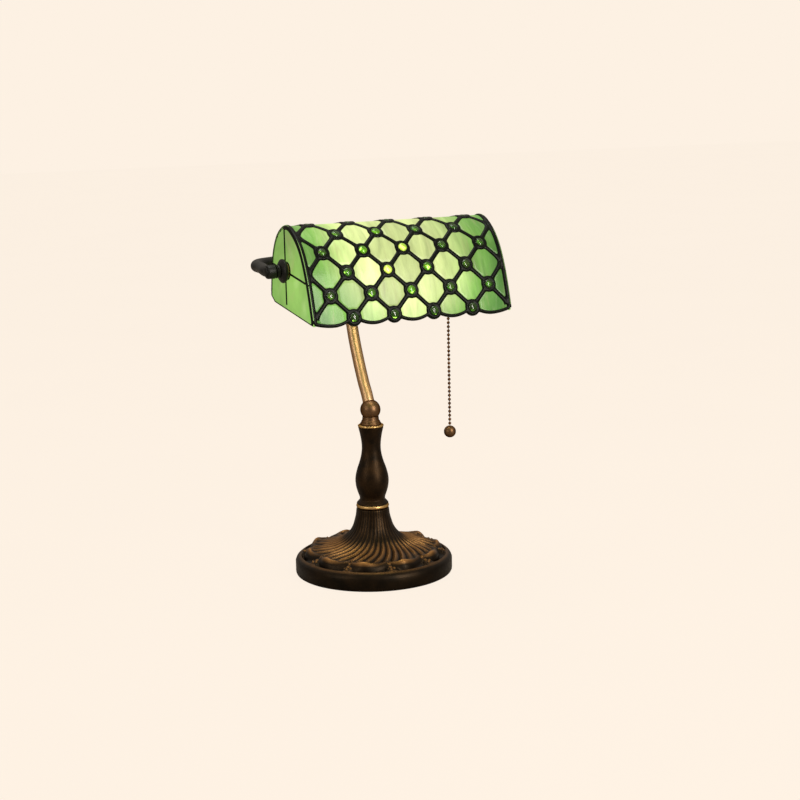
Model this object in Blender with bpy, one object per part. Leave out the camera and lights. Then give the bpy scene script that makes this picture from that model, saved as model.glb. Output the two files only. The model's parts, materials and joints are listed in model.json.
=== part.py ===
"""Banker desk lamp: a stained-glass shade that tilts in a yoke, on a swan neck, a turned post and a cast base.

Metres, +Z up. The origin is the middle of the base's underside, on the post's axis. The shade's length runs
along X, and the front of the lamp faces -Y.
"""

import math

import bmesh
import bpy
from mathutils import Matrix, Vector

MM = 0.001
GAP = 0.3  # clearance between pieces that touch, mm like every size below

# Base, lathed about Z.
BASE_RADIUS = 82.9
BASE_RIM_Z = 0.4
FELT_SEAT_Z = 2.3
FELT_RADIUS = 78.5
BASE_TOP_Z = 68.7
ROD_RADIUS = 4.8
ROD_BORE = 3.4
ROD_CLEAR = 5.3
CORD_HOLE_Z = 9.0
CORD_HOLE_RADIUS = 4.3

# Post and swivel.
POST_BOTTOM_Z = 73.7
POST_TOP_Z = 155.1
BALL_Z = 173.5
BALL_RADIUS = 10.7
NECK_RADIUS = 6.1
TUBE_WALL = 1.4

# Yoke and the axis that the shade tilts on.
AXIS_Y = -47.0
AXIS_Z = 330.3
HUB_Y = 55.3
HUB_RADIUS = 9.0
HUB_HALF = 13.0
ARM_RADIUS = 5.75
ARM_X = 124.5
EYE_RADIUS = 6.8
SCREW_RADIUS = 2.6

# Shade. Rows of jewels run along X, ROW_PITCH apart round the arch; columns are half a pitch apart.
SHADE_TILT = 5.7
SHADE_HALF = 107.5
GLASS_HALF = 104.6
COLUMN = 21.5
ROWS = 10
GLASS = 2.5
PANEL_FRONT = (66.0, -41.9)
PANEL_BACK = ((-40.2, -33.2), (-31.3, -37.8))
UPRIGHT_LINE = (0.994, 0.108, -3.45)
LEVEL_LINE = (0.05, 0.9987, -1.6)
CORNER_DROP = 4.0
PANEL_CAME = (1.3, 4.2)
SCALLOP_FRONT = 8.0
SCALLOP_BACK = 6.0
CAME_RISE = 1.2
CAME_WIDTH = 4.2
CAME_BORDER = 4.0
PANE_X = (104.9, 107.4)
END_CAME_X = (107.7, 108.9)
NOTCH_X = (100.0, 112.0)
WINDOW_X = (107.0, 110.0)
PANE_SEAM = 0.5
CAME_SEAM = 1.3
JEWEL_RING = 7.8
EYELET_RADIUS = 8.0
# Arch section as (forward, up) from the tilt axis, at every row of jewels from the front edge to the back one.
SECTION = (
    (65.0, -35.8),
    (56.6, -14.7),
    (46.9, 5.2),
    (34.3, 23.6),
    (17.3, 36.9),
    (-3.3, 43.2),
    (-22.6, 33.8),
    (-34.4, 15.6),
    (-38.4, -6.0),
    (-39.8, -28.0),
)

# Lampholder, bulb and pull switch.
SOCKET_RADIUS = 16.6
SWITCH_X = 68.8
BULB_X = 5.0
BULB_RADIUS = 24.0
CHAIN_PITCH = 4.25
CHAIN_BEAD = 1.6
CHAIN_TOP_Z = 296.7
CHAIN_BALL_Z = 151.0
CHAIN_BALL_RADIUS = 6.3


# ---------------------------------------------------------------- tools

def clear_scene():
    for obj in list(bpy.data.objects):
        bpy.data.objects.remove(obj)


def material(name, colour, roughness, metallic):
    made = bpy.data.materials.get(name)
    if made:
        return made
    made = bpy.data.materials.new(name)
    made.use_nodes = True
    shader = made.node_tree.nodes["Principled BSDF"]
    shader.inputs["Base Color"].default_value = (*colour, 1.0)
    shader.inputs["Roughness"].default_value = roughness
    shader.inputs["Metallic"].default_value = metallic
    return made


def bronze():
    return material("dark_bronze", (0.045, 0.028, 0.018), 0.42, 0.85)


def bright_brass():
    return material("bright_brass", (0.62, 0.42, 0.2), 0.28, 1.0)


def neck_brass():
    return material("antique_brass", (0.42, 0.27, 0.13), 0.3, 1.0)


def yoke_iron():
    return material("black_bronze", (0.02, 0.024, 0.02), 0.45, 0.8)


def steel():
    return material("zinc_steel", (0.55, 0.55, 0.53), 0.35, 1.0)


def phenolic():
    return material("black_phenolic", (0.02, 0.02, 0.02), 0.5, 0.0)


def fibre():
    return material("grey_fibre", (0.25, 0.22, 0.19), 0.85, 0.0)


def felt():
    return material("green_felt", (0.03, 0.08, 0.05), 0.95, 0.0)


def art_glass():
    return material("green_glass", (0.3, 0.62, 0.26), 0.25, 0.0)


def lead_came():
    return material("black_solder", (0.012, 0.016, 0.014), 0.4, 0.7)


def bulb_white():
    return material("bulb_glass", (0.95, 0.93, 0.88), 0.3, 0.0)


def add_object(name, bm, mat, parent=None, smooth_angle=35):
    """Turns a bmesh in millimetres into an object in metres, with its faces pointing out."""
    bmesh.ops.recalc_face_normals(bm, faces=bm.faces)
    if bm.calc_volume(signed=True) < 0:
        bmesh.ops.reverse_faces(bm, faces=bm.faces)
    mesh = bpy.data.meshes.new(name)
    bm.to_mesh(mesh)
    bm.free()
    mesh.transform(Matrix.Scale(MM, 4))
    mesh.materials.append(mat)
    if smooth_angle:
        mesh.shade_smooth()
        mesh.set_sharp_from_angle(angle=math.radians(smooth_angle))
    obj = bpy.data.objects.new(name, mesh)
    bpy.context.scene.collection.objects.link(obj)
    if parent:
        obj.parent = parent
    return obj


def joint_empty(name, place, parent=None, tilt=0.0):
    empty = bpy.data.objects.new(name, None)
    empty.empty_display_size = 20 * MM
    bpy.context.scene.collection.objects.link(empty)
    empty.location = Vector(place) * MM
    empty.rotation_euler.x = math.radians(tilt)
    if parent:
        empty.parent = parent
        empty.location -= parent.location
    return empty


def ring_of(bm, radius, height, count, turn=0.0):
    if radius == 0:
        return [bm.verts.new((0, 0, height))]
    ring = []
    for k in range(count):
        angle = 2 * math.pi * (k + turn) / count
        ring.append(bm.verts.new((radius * math.cos(angle), radius * math.sin(angle), height)))
    return ring


def bridge(bm, first, second):
    count = max(len(first), len(second))
    for k in range(count):
        n = (k + 1) % count
        if len(first) == 1:
            bm.faces.new((first[0], second[n], second[k]))
        elif len(second) == 1:
            bm.faces.new((first[k], first[n], second[0]))
        else:
            bm.faces.new((first[k], first[n], second[n], second[k]))


def lathe(profile, count=32, axis="Z", place=(0, 0, 0), turn=0.0):
    """A solid turned from (radius, height) points. The outline closes on itself, or ends on its axis."""
    bm = bmesh.new()
    rings = [ring_of(bm, radius, height, count, turn) for radius, height in profile]
    for first, second in zip(rings, rings[1:]):
        bridge(bm, first, second)
    if len(rings[0]) > 1 and len(rings[-1]) > 1:
        bridge(bm, rings[-1], rings[0])
    turns = {
        "Z": Matrix.Identity(4),
        "X": Matrix.Rotation(math.pi / 2, 4, "Y"),
        "Y": Matrix.Rotation(-math.pi / 2, 4, "X"),
    }
    bmesh.ops.transform(bm, matrix=Matrix.Translation(place) @ turns[axis], verts=bm.verts)
    return bm


def tube_profile(inner, outer, low, high):
    return ((outer, high), (outer, low), (inner, low), (inner, high))


def hex_nut(bore, corner, low, high, axis="Z", place=(0, 0, 0)):
    """A hexagon of the given corner radius, with a round bore."""
    count = 24
    bm = lathe(tube_profile(bore, corner, low, high), count)
    for vert in bm.verts:
        flat = vert.co.xy
        if flat.length > (bore + corner) / 2:
            off = math.degrees(math.atan2(flat.y, flat.x)) % 60 - 30
            scale = math.cos(math.radians(30)) / math.cos(math.radians(off))
            vert.co.x *= scale
            vert.co.y *= scale
    turn = Matrix.Rotation(math.pi / 2, 4, "Y") if axis == "X" else Matrix.Identity(4)
    bmesh.ops.transform(bm, matrix=Matrix.Translation(place) @ turn, verts=bm.verts)
    return bm


def disc_profile(radius, low, high):
    return ((0, high), (radius, high), (radius, low), (0, low))


def smooth_curve(points, steps):
    """Points on a Catmull-Rom curve through the given ones, with its ends carried straight on."""
    knots = [Vector(p) for p in points]
    knots = [2 * knots[0] - knots[1], *knots, 2 * knots[-1] - knots[-2]]
    found = []
    for a, b, c, d in zip(knots, knots[1:], knots[2:], knots[3:]):
        for k in range(steps):
            t = k / steps
            found.append(
                0.5
                * (2 * b + (c - a) * t + (2 * a - 5 * b + 4 * c - d) * t**2 + (3 * b - a - 3 * c + d) * t**3)
            )
    found.append(knots[-2])
    return found


def sweep_tube(path, outer, inner, across, count=12):
    """A hollow tube along a flat path. Across is the direction square to the path's plane."""
    bm = bmesh.new()
    across = Vector(across)
    skins = []
    for radius in (outer, inner):
        rings = []
        for k, point in enumerate(path):
            ahead = path[min(k + 1, len(path) - 1)] - path[max(k - 1, 0)]
            side = ahead.normalized().cross(across)
            ring = []
            for i in range(count):
                angle = 2 * math.pi * i / count
                out = math.cos(angle) * side + math.sin(angle) * across
                ring.append(bm.verts.new(point + radius * out))
            rings.append(ring)
        for first, second in zip(rings, rings[1:]):
            bridge(bm, first, second)
        skins.append(rings)
    for end in (0, -1):
        bridge(bm, skins[0][end], skins[1][end])
    return bm


def hide_cutter(obj):
    obj.hide_render = True
    obj.display_type = "WIRE"


def cut(obj, cutter):
    boolean = obj.modifiers.new("cut_" + cutter.name, "BOOLEAN")
    boolean.operation = "DIFFERENCE"
    boolean.solver = "EXACT"
    boolean.object = cutter


# ---------------------------------------------------------------- base

def make_base_casting():
    outside = (
        (16.2, BASE_TOP_Z),
        (17.2, 67.4),
        (18.0, 61.0),
        (19.8, 54.0),
        (21.9, 48.0),
        (26.5, 41.0),
        (34.0, 34.0),
        (44.0, 28.5),
        (57.0, 24.5),
        (70.0, 22.5),
        (77.5, 20.5),
        (81.3, 17.0),
        (BASE_RADIUS, 13.0),
        (BASE_RADIUS, 2.4),
        (81.7, BASE_RIM_Z),
    )
    inside = (
        (FELT_RADIUS + GAP, BASE_RIM_Z),
        (FELT_RADIUS + GAP, FELT_SEAT_Z),
        (76.5, FELT_SEAT_Z),
        (76.5, 14.0),
        (70.0, 18.0),
        (57.0, 20.0),
        (44.0, 23.5),
        (34.0, 29.0),
        (24.0, 38.0),
        (16.0, 50.0),
        (14.0, 60.0),
        (ROD_CLEAR, 60.0),
        (ROD_CLEAR, BASE_TOP_Z),
    )
    casting = add_object("base_casting", lathe(outside + inside, 36), bronze())
    hole = lathe(disc_profile(CORD_HOLE_RADIUS, 70.0, 90.0), 16, "Y", (0, 0, CORD_HOLE_Z))
    cutter = add_object("cord_hole_cutter", hole, steel())
    hide_cutter(cutter)
    cut(casting, cutter)


def make_base_fittings():
    add_object("felt_pad", lathe(disc_profile(FELT_RADIUS, 0.0, FELT_SEAT_Z - GAP), 36), felt())
    add_object("base_weight", lathe(tube_profile(24.0, 72.0, 3.0, 12.0), 24), steel())
    add_object("base_washer", lathe(tube_profile(ROD_CLEAR, 11.5, 57.9, 59.7), 24), steel())
    add_object("base_nut", hex_nut(ROD_CLEAR, 9.0, 51.6, 57.6), steel())
    add_object("threaded_rod", lathe(tube_profile(ROD_BORE, ROD_RADIUS, 48.0, 161.2), 16), steel())
    bushing = (
        (2.6, 75.0),
        (4.0, 75.0),
        (4.0, 83.2),
        (6.0, 83.2),
        (5.4, 85.0),
        (2.6, 85.0),
    )
    add_object("cord_bushing", lathe(bushing, 16, "Y", (0, 0, CORD_HOLE_Z)), phenolic())


def make_post():
    ring = (
        (ROD_CLEAR, 69.0),
        (15.4, 69.0),
        (17.1, 70.0),
        (17.3, 71.2),
        (16.9, 72.6),
        (15.4, 73.4),
        (ROD_CLEAR, 73.4),
    )
    add_object("base_ring", lathe(ring, 24), bright_brass())
    outside = (
        (16.9, POST_BOTTOM_Z),
        (15.6, 75.3),
        (13.3, 77.8),
        (13.4, 80.5),
        (15.2, 85.3),
        (16.9, 91.0),
        (17.7, 98.0),
        (17.1, 104.0),
        (15.3, 111.0),
        (12.9, 117.5),
        (10.9, 124.5),
        (9.8, 132.5),
        (10.2, 140.0),
        (11.4, 147.5),
        (13.2, POST_TOP_Z),
    )
    post = outside + ((ROD_CLEAR, POST_TOP_Z), (ROD_CLEAR, POST_BOTTOM_Z))
    add_object("post", lathe(post, 24), bronze())
    lip = (
        (ROD_CLEAR, 155.4),
        (12.6, 155.4),
        (13.6, 156.2),
        (13.6, 157.2),
        (12.8, 157.8),
        (ROD_CLEAR, 157.8),
    )
    add_object("post_lip_ring", lathe(lip, 24), bright_brass())


def make_swivel_collar():
    """The seat's hollow top matches the ball with a running gap."""
    seat = BALL_RADIUS + GAP

    def seat_height(radius):
        return BALL_Z - math.sqrt(seat**2 - radius**2)

    collar = (
        (11.0, 158.1),
        (11.0, 159.6),
        (9.9, 160.3),
        (9.9, 161.6),
        (8.9, 162.4),
        (8.6, 165.0),
        (8.5, seat_height(8.5)),
        (7.2, seat_height(7.2)),
        (5.6, seat_height(5.6)),
        (3.8, seat_height(3.8)),
        (3.8, 161.8),
        (ROD_CLEAR, 161.8),
        (ROD_CLEAR, 158.1),
    )
    add_object("swivel_collar", lathe(collar, 24), bronze())


# ---------------------------------------------------------------- neck and yoke

NECK_START = Vector((0, 4.1, 181.3))
NECK_POINTS = (
    tuple(NECK_START),
    (0, 8.6, 189.8),
    (0, 16.0, 201.0),
    (0, 28.0, 224.2),
    (0, 38.4, 248.6),
    (0, 46.6, 276.0),
    (0, 53.0, 302.0),
    (0, HUB_Y, 313.0),
    (0, HUB_Y, AXIS_Z - HUB_RADIUS - GAP),
)


def make_swivel_ball(parent):
    """A ball bored for the wires, with a flat that the neck tube seats on."""
    lean = math.atan2(NECK_START.y, NECK_START.z - BALL_Z)
    flat = (NECK_START - Vector((0, 0, BALL_Z))).length - GAP
    bore = NECK_RADIUS - TUBE_WALL
    top = math.acos(flat / BALL_RADIUS)
    bottom = math.pi - math.asin(bore / BALL_RADIUS)
    arc = 9
    ball = [(bore, flat)]
    for k in range(arc + 1):
        angle = top + (bottom - top) * k / arc
        ball.append((BALL_RADIUS * math.sin(angle), BALL_RADIUS * math.cos(angle)))
    bm = lathe(ball, 24)
    turn = Matrix.Rotation(-lean, 4, "X")
    bmesh.ops.transform(bm, matrix=turn, verts=bm.verts)
    add_object("swivel_ball", bm, bronze(), parent)


def make_neck(parent):
    path = smooth_curve(NECK_POINTS, 2)
    bm = sweep_tube(path, NECK_RADIUS, NECK_RADIUS - TUBE_WALL, (1, 0, 0), 12)
    bmesh.ops.translate(bm, vec=(0, 0, -BALL_Z), verts=bm.verts)
    add_object("neck_tube", bm, neck_brass(), parent)


def make_hub(parent):
    place = (0, HUB_Y, AXIS_Z - BALL_Z)
    bore = NECK_RADIUS - TUBE_WALL
    barrel = (
        (bore, -HUB_HALF),
        (7.2, -HUB_HALF),
        (8.2, -10.5),
        (HUB_RADIUS, -7.0),
        (HUB_RADIUS, 7.0),
        (8.2, 10.5),
        (7.2, HUB_HALF),
        (bore, HUB_HALF),
    )
    add_object("yoke_hub", lathe(barrel, 20, "X", place), yoke_iron(), parent)
    finial_low = place[2] + HUB_RADIUS + GAP
    finial = (
        (0, finial_low + 9.0),
        (2.2, finial_low + 8.4),
        (3.4, finial_low + 6.2),
        (2.4, finial_low + 4.0),
        (1.8, finial_low + 3.2),
        (4.6, finial_low + 1.8),
        (4.6, finial_low),
        (0, finial_low),
    )
    add_object("hub_finial", lathe(finial, 16, "Z", (0, HUB_Y, 0)), yoke_iron(), parent)


def make_arm(side, name, parent):
    height = AXIS_Z - BALL_Z
    end_y = AXIS_Y + EYE_RADIUS + GAP
    points = (
        (HUB_HALF + GAP, HUB_Y),
        (42.0, 54.6),
        (68.0, 47.0),
        (92.0, 36.5),
        (108.0, 27.0),
        (116.5, 12.0),
        (118.5, -6.0),
        (122.0, -22.0),
        (ARM_X, end_y + 7.0),
        (ARM_X, end_y),
    )
    path = smooth_curve([(side * x, y, height) for x, y in points], 2)
    bm = sweep_tube(path, ARM_RADIUS, ARM_RADIUS - TUBE_WALL, (0, 0, 1), 10)
    add_object(name, bm, yoke_iron(), parent)


# Pivot hardware along X from the tilt axis's middle, as distances from it.
PIVOT_NUT = (100.5, 104.3)
EYELET = (104.7, 109.2)
ESCUTCHEON = (109.5, 116.0)
SPACER = (116.3, 119.5)
EYE = (119.8, 129.2)
CAP = (129.5, 131.3)


def along_x(profile, side):
    """Mirrors a profile of (radius, x) to the given side."""
    return tuple((radius, side * x) for radius, x in profile)


def make_pivot_side(side, word, bore, parent):
    """Eye, spacer and escutcheon on one side, bored for the shaft that passes through them."""
    place = (0, AXIS_Y, AXIS_Z - BALL_Z)
    eye = (
        (bore, EYE[0]),
        (6.0, EYE[0]),
        (EYE_RADIUS, EYE[0] + 1.2),
        (EYE_RADIUS, EYE[1] - 1.2),
        (6.0, EYE[1]),
        (bore, EYE[1]),
    )
    add_object(word + "_eye", lathe(along_x(eye, side), 20, "X", place), yoke_iron(), parent)
    spacer = (
        (bore, SPACER[0]),
        (6.8, SPACER[0]),
        (6.2, 117.9),
        (6.8, SPACER[1]),
        (bore, SPACER[1]),
    )
    add_object(word + "_spacer", lathe(along_x(spacer, side), 16, "X", place), yoke_iron(), parent)
    escutcheon = (
        (bore, ESCUTCHEON[0]),
        (10.2, ESCUTCHEON[0]),
        (11.8, 111.2),
        (11.8, 113.0),
        (9.4, 114.8),
        (7.0, ESCUTCHEON[1]),
        (bore, ESCUTCHEON[1]),
    )
    mesh = lathe(along_x(escutcheon, side), 20, "X", place)
    add_object(word + "_escutcheon", mesh, yoke_iron(), parent)
    low, high = sorted(side * x for x in PIVOT_NUT)
    add_object(word + "_pivot_nut", hex_nut(bore, 9.0, low, high, "X", place), steel(), parent)


def make_left_screw(parent):
    place = (0, AXIS_Y, AXIS_Z - BALL_Z)
    screw = (
        (0, 96.0),
        (SCREW_RADIUS, 96.0),
        (SCREW_RADIUS, CAP[0]),
        (5.2, CAP[0]),
        (4.4, CAP[1] - 0.8),
        (0, CAP[1]),
    )
    add_object("left_pivot_screw", lathe(along_x(screw, -1), 16, "X", place), yoke_iron(), parent)


def make_right_nipple(parent):
    place = (0, AXIS_Y, AXIS_Z - BALL_Z)
    nipple = tube_profile(ROD_BORE, ROD_RADIUS, 90.0, EYE[1])
    add_object("right_nipple", lathe(nipple, 16, "X", place), steel(), parent)
    cap = ((0, CAP[0]), (6.0, CAP[0]), (5.2, CAP[1] - 0.8), (0, CAP[1]))
    add_object("right_end_cap", lathe(cap, 20, "X", place), yoke_iron(), parent)


# ---------------------------------------------------------------- lampholder, bulb, switch

def make_socket(parent):
    place = (0, AXIS_Y, AXIS_Z - BALL_Z)
    inner = SOCKET_RADIUS - 0.7
    cap = (
        (ROD_CLEAR, 100.2),
        (9.0, 100.2),
        (15.0, 95.5),
        (SOCKET_RADIUS + 0.5, 90.0),
        (SOCKET_RADIUS + 0.5, 83.8),
        (inner, 83.8),
        (14.0, 93.5),
        (8.6, 98.2),
        (ROD_CLEAR, 98.2),
    )
    add_object("socket_cap", lathe(cap, 20, "X", place), bright_brass(), parent)
    shell = tube_profile(inner, SOCKET_RADIUS, 45.0, 83.5)
    add_object("socket_shell", lathe(shell, 20, "X", place), bright_brass(), parent)
    liner = tube_profile(inner - 0.9, inner - GAP, 46.0, 83.0)
    add_object("socket_liner", lathe(liner, 20, "X", place), fibre(), parent)
    body = disc_profile(inner - 0.9 - GAP, 66.5, 84.5)
    add_object("switch_body", lathe(body, 20, "X", place), phenolic(), parent)
    screw_shell = tube_profile(13.6, inner - 0.9 - GAP, 47.0, 66.2)
    add_object("screw_shell", lathe(screw_shell, 20, "X", place), bright_brass(), parent)
    contact = ((0, 64.6), (3.5, 64.6), (4.5, 66.2), (0, 66.2))
    add_object("centre_contact", lathe(contact, 12, "X", place), bright_brass(), parent)


def make_bulb(parent):
    place = (0, AXIS_Y, AXIS_Z - BALL_Z)
    base = (
        (0, 40.4),
        (13.2, 40.4),
        (13.2, 57.5),
        (10.0, 60.0),
        (4.0, 61.5),
        (3.6, 64.2),
        (0, 64.2),
    )
    add_object("bulb_base", lathe(base, 20, "X", place), bright_brass(), parent)
    outside = [(12.6, 40.0), (13.6, 34.0), (17.6, 26.0)]
    inside = [(11.8, 40.0), (12.8, 34.0), (16.7, 26.0)]
    arc = 7
    start = math.radians(42)
    for k in range(arc):
        angle = start + (math.pi - start) * k / arc
        outside.append((BULB_RADIUS * math.sin(angle), BULB_X + BULB_RADIUS * math.cos(angle)))
        thin = BULB_RADIUS - 0.9
        inside.append((thin * math.sin(angle), BULB_X + thin * math.cos(angle)))
    outside.append((0, BULB_X - BULB_RADIUS))
    inside.append((0, BULB_X - BULB_RADIUS + 0.9))
    bm = lathe(outside, 20, "X", place)
    bm = join_open_skins(bm, inside, place)
    add_object("bulb_glass", bm, bulb_white(), parent)


def join_open_skins(bm, inside, place):
    """Closes a turned skin whose mouth is open with an inner skin, joined round the mouth."""
    mouth = [face for face in bm.faces if len(face.verts) > 4]
    bmesh.ops.delete(bm, geom=mouth, context="FACES_ONLY")
    turn = Matrix.Translation(place) @ Matrix.Rotation(math.pi / 2, 4, "Y")
    count = 20
    rings = [ring_of(bm, radius, height, count) for radius, height in inside]
    for ring in rings:
        bmesh.ops.transform(bm, matrix=turn, verts=ring)
    for first, second in zip(rings, rings[1:]):
        bridge(bm, first, second)
    open_edges = [edge for edge in bm.edges if len(edge.link_faces) == 1]
    bmesh.ops.bridge_loops(bm, edges=open_edges)
    return bm


def make_switch(parent, slide, swing):
    shell_low = AXIS_Z - SOCKET_RADIUS - GAP
    bell = (
        (2.2, shell_low - BALL_Z),
        (4.2, shell_low - BALL_Z),
        (3.4, shell_low - BALL_Z - 3.0),
        (3.8, shell_low - BALL_Z - 6.0),
        (5.2, shell_low - BALL_Z - 8.6),
        (3.6, shell_low - BALL_Z - 8.6),
        (2.2, shell_low - BALL_Z - 5.0),
    )
    add_object("switch_bell", lathe(bell, 16, "Z", (SWITCH_X, AXIS_Y, 0)), bright_brass(), parent)
    top = shell_low - GAP - CHAIN_TOP_Z
    link = (
        (0, top),
        (1.5, top),
        (1.5, 5.0),
        (2.5, 4.2),
        (2.5, GAP),
        (0, GAP),
    )
    add_object("chain_coupling", lathe(link, 12), bright_brass(), slide)
    add_object("pull_chain", lathe(chain_profile(), 6), neck_brass(), swing)
    low = CHAIN_BALL_Z - CHAIN_TOP_Z
    ball = [(0, low + CHAIN_BALL_RADIUS)]
    arc = 8
    for k in range(1, arc):
        angle = math.pi * k / arc
        ball.append((CHAIN_BALL_RADIUS * math.sin(angle), low + CHAIN_BALL_RADIUS * math.cos(angle)))
    ball.append((0, low - CHAIN_BALL_RADIUS))
    add_object("chain_ball", lathe(ball, 16), bronze(), swing)


def chain_profile():
    """Beads on a wire, from the coupling down to the ball."""
    length = CHAIN_TOP_Z - CHAIN_BALL_Z - CHAIN_BALL_RADIUS - GAP
    beads = round(length / CHAIN_PITCH)
    pitch = length / beads
    profile = [(0, 0.0)]
    for k in range(beads):
        middle = -(k + 0.5) * pitch
        profile.append((0.5, middle + 0.48 * pitch))
        profile.append((CHAIN_BEAD, middle + 0.18 * pitch))
        profile.append((CHAIN_BEAD, middle - 0.18 * pitch))
        profile.append((0.5, middle - 0.48 * pitch))
    profile.append((0, -length))
    return profile


# ---------------------------------------------------------------- shade

class Arch:
    """The arch's section, with places measured along it in mm from the front row of jewels."""

    def __init__(self):
        fine = smooth_curve([(forward, up, 0) for forward, up in SECTION], 12)
        self.points = [Vector((p.x, p.y)) for p in fine]
        self.runs = [0.0]
        for a, b in zip(self.points, self.points[1:]):
            self.runs.append(self.runs[-1] + (b - a).length)
        self.pitch = self.runs[-1] / (ROWS - 1)
        self.length = self.runs[-1]

    def at(self, run, out=0.0):
        """(forward, up) at a run along the section, moved out from its face."""
        last = len(self.points) - 2
        k = 0
        while k < last and self.runs[k + 1] < run:
            k += 1
        ahead = self.points[k + 1] - self.points[k]
        point = self.points[k] + ahead * ((run - self.runs[k]) / (self.runs[k + 1] - self.runs[k]))
        before = self.points[max(k - 6, 0)]
        after = self.points[min(k + 7, len(self.points) - 1)]
        if run < 0 or run > self.length:
            before, after = self.points[k], self.points[k + 1]
        along = (after - before).normalized()
        return point + out * Vector((along.y, -along.x))

    def place(self, x, run, out=0.0):
        forward, up = self.at(run, out)
        return Vector((x, -forward, up))


def front_scallop(x):
    """The front edge dips between jewels, and its two end corners hang a little lower than the jewels."""
    drop = CORNER_DROP if abs(x) > 4 * COLUMN else 0.0
    return -drop - (SCALLOP_FRONT - drop) * abs(math.cos(math.pi * x / (2 * COLUMN))) ** 0.8


def back_scallop(x):
    return SCALLOP_BACK * abs(math.sin(math.pi * x / (2 * COLUMN))) ** 0.8


def make_shade_glass(arch, parent):
    """One curved sheet that stands for the leaded octagons, with scalloped long edges."""
    columns = 40
    rows = 2 * (ROWS - 1)
    half = GLASS_HALF
    bm = bmesh.new()
    skins = []
    for out in (0.0, -GLASS):
        grid = []
        for i in range(columns + 1):
            x = -half + 2 * half * i / columns
            line = [front_scallop(x)]
            line += [arch.length * k / rows for k in range(rows + 1)]
            line.append(arch.length + back_scallop(x))
            if abs(line[1] - line[0]) < 0.4:
                line[0] = line[1] - 0.4
            if abs(line[-1] - line[-2]) < 0.4:
                line[-1] = line[-2] + 0.4
            grid.append([bm.verts.new(arch.place(x, run, out)) for run in line])
        for a, b in zip(grid, grid[1:]):
            for k in range(len(a) - 1):
                bm.faces.new((a[k], a[k + 1], b[k + 1], b[k]))
        skins.append(grid)
    top, low = skins
    for k in range(len(top[0]) - 1):
        for edge in (0, -1):
            bm.faces.new((top[edge][k], top[edge][k + 1], low[edge][k + 1], low[edge][k]))
    for i in range(columns):
        for edge in (0, -1):
            bm.faces.new((top[i][edge], top[i + 1][edge], low[i + 1][edge], low[i][edge]))
    add_object("shade_glass", bm, art_glass(), parent)


class Lattice:
    """Flat faces in (x, run) that are laid on the arch and given a thickness."""

    def __init__(self, arch):
        self.arch = arch
        self.spots = []
        self.keys = {}
        self.faces = []

    def spot(self, x, run):
        key = (round(x, 3), round(run, 3))
        if key not in self.keys:
            self.keys[key] = len(self.spots)
            self.spots.append((x, run))
        return self.keys[key]

    def face(self, *corners):
        """Adds a convex face, with its corners put in order round its middle."""
        middle = sum((Vector(c) for c in corners), Vector((0, 0))) / len(corners)
        ordered = sorted(corners, key=lambda c: math.atan2(c[1] - middle.y, c[0] - middle.x))
        self.faces.append([self.spot(*corner) for corner in ordered])

    def fan(self, middle, corners):
        for a, b in zip(corners, corners[1:] + corners[:1]):
            self.face(middle, a, b)

    def thick(self, low, high):
        bm = bmesh.new()
        upper = [bm.verts.new(self.arch.place(x, run, high)) for x, run in self.spots]
        under = [bm.verts.new(self.arch.place(x, run, low)) for x, run in self.spots]
        used = {}
        for face in self.faces:
            bm.faces.new([upper[k] for k in face])
            bm.faces.new([under[k] for k in reversed(face)])
            for a, b in zip(face, face[1:] + face[:1]):
                key = (min(a, b), max(a, b))
                used[key] = used.get(key, 0) + 1
        for (a, b), count in used.items():
            if count == 1:
                bm.faces.new((upper[a], upper[b], under[b], under[a]))
        return bm


def ring_spots(x, run, degrees):
    """Corners of a jewel's seat at the given angles."""
    found = []
    for angle in degrees:
        turn = math.radians(angle)
        found.append((x + JEWEL_RING * math.cos(turn), run + JEWEL_RING * math.sin(turn)))
    return found


def make_came_lattice(arch, parent):
    """Black solder lines: diagonals between the jewels' seats, and a border all round the arch."""
    lattice = Lattice(arch)
    pitch = arch.pitch
    spread = math.degrees(math.asin(CAME_WIDTH / 2 / JEWEL_RING))
    up_right = (45 - spread, 45 + spread)
    up_left = (135 - spread, 135 + spread)
    down_left = (225 - spread, 225 + spread)
    down_right = (315 - spread, 315 + spread)
    edge_low = (184, 216)
    edge_right = (324, 356)
    edge_high = (144, 176)
    edge_far = (4, 36)
    columns = (ROWS - 1) // 2 + 1
    wall = SHADE_HALF - 0.1
    inner = wall - CAME_BORDER
    reach = SHADE_HALF - inner
    slot = CAME_WIDTH / math.sqrt(2)

    def seats():
        for row in range(ROWS):
            for column in range(-columns + 1, columns):
                if (row + column) % 2:
                    yield row, column

    for row, column in seats():
        if row == 0:
            angles = (*up_right, *up_left, *edge_low, *edge_right)
        elif row == ROWS - 1:
            angles = (*edge_far, *edge_high, *down_left, *down_right)
        else:
            angles = (*up_right, *up_left, *down_left, *down_right)
        middle = (column * COLUMN, row * pitch)
        lattice.fan(middle, ring_spots(*middle, angles))

    for row in range(ROWS - 1):
        for column in range(-columns, columns + 1):
            if not (row + column) % 2:
                continue
            for step in (-1, 1):
                add_diagonal(lattice, arch, row, column, step, columns, (inner, reach, slot), spread)

    add_side_borders(lattice, arch, columns, (inner, wall, reach, slot))
    add_edge_border(lattice, arch, columns, (inner, wall), front=True)
    add_edge_border(lattice, arch, columns, (inner, wall), front=False)
    bm = lattice.thick(GAP + 0.1, GAP + 0.1 + CAME_RISE)
    add_object("shade_came", bm, lead_came(), parent)


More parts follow.
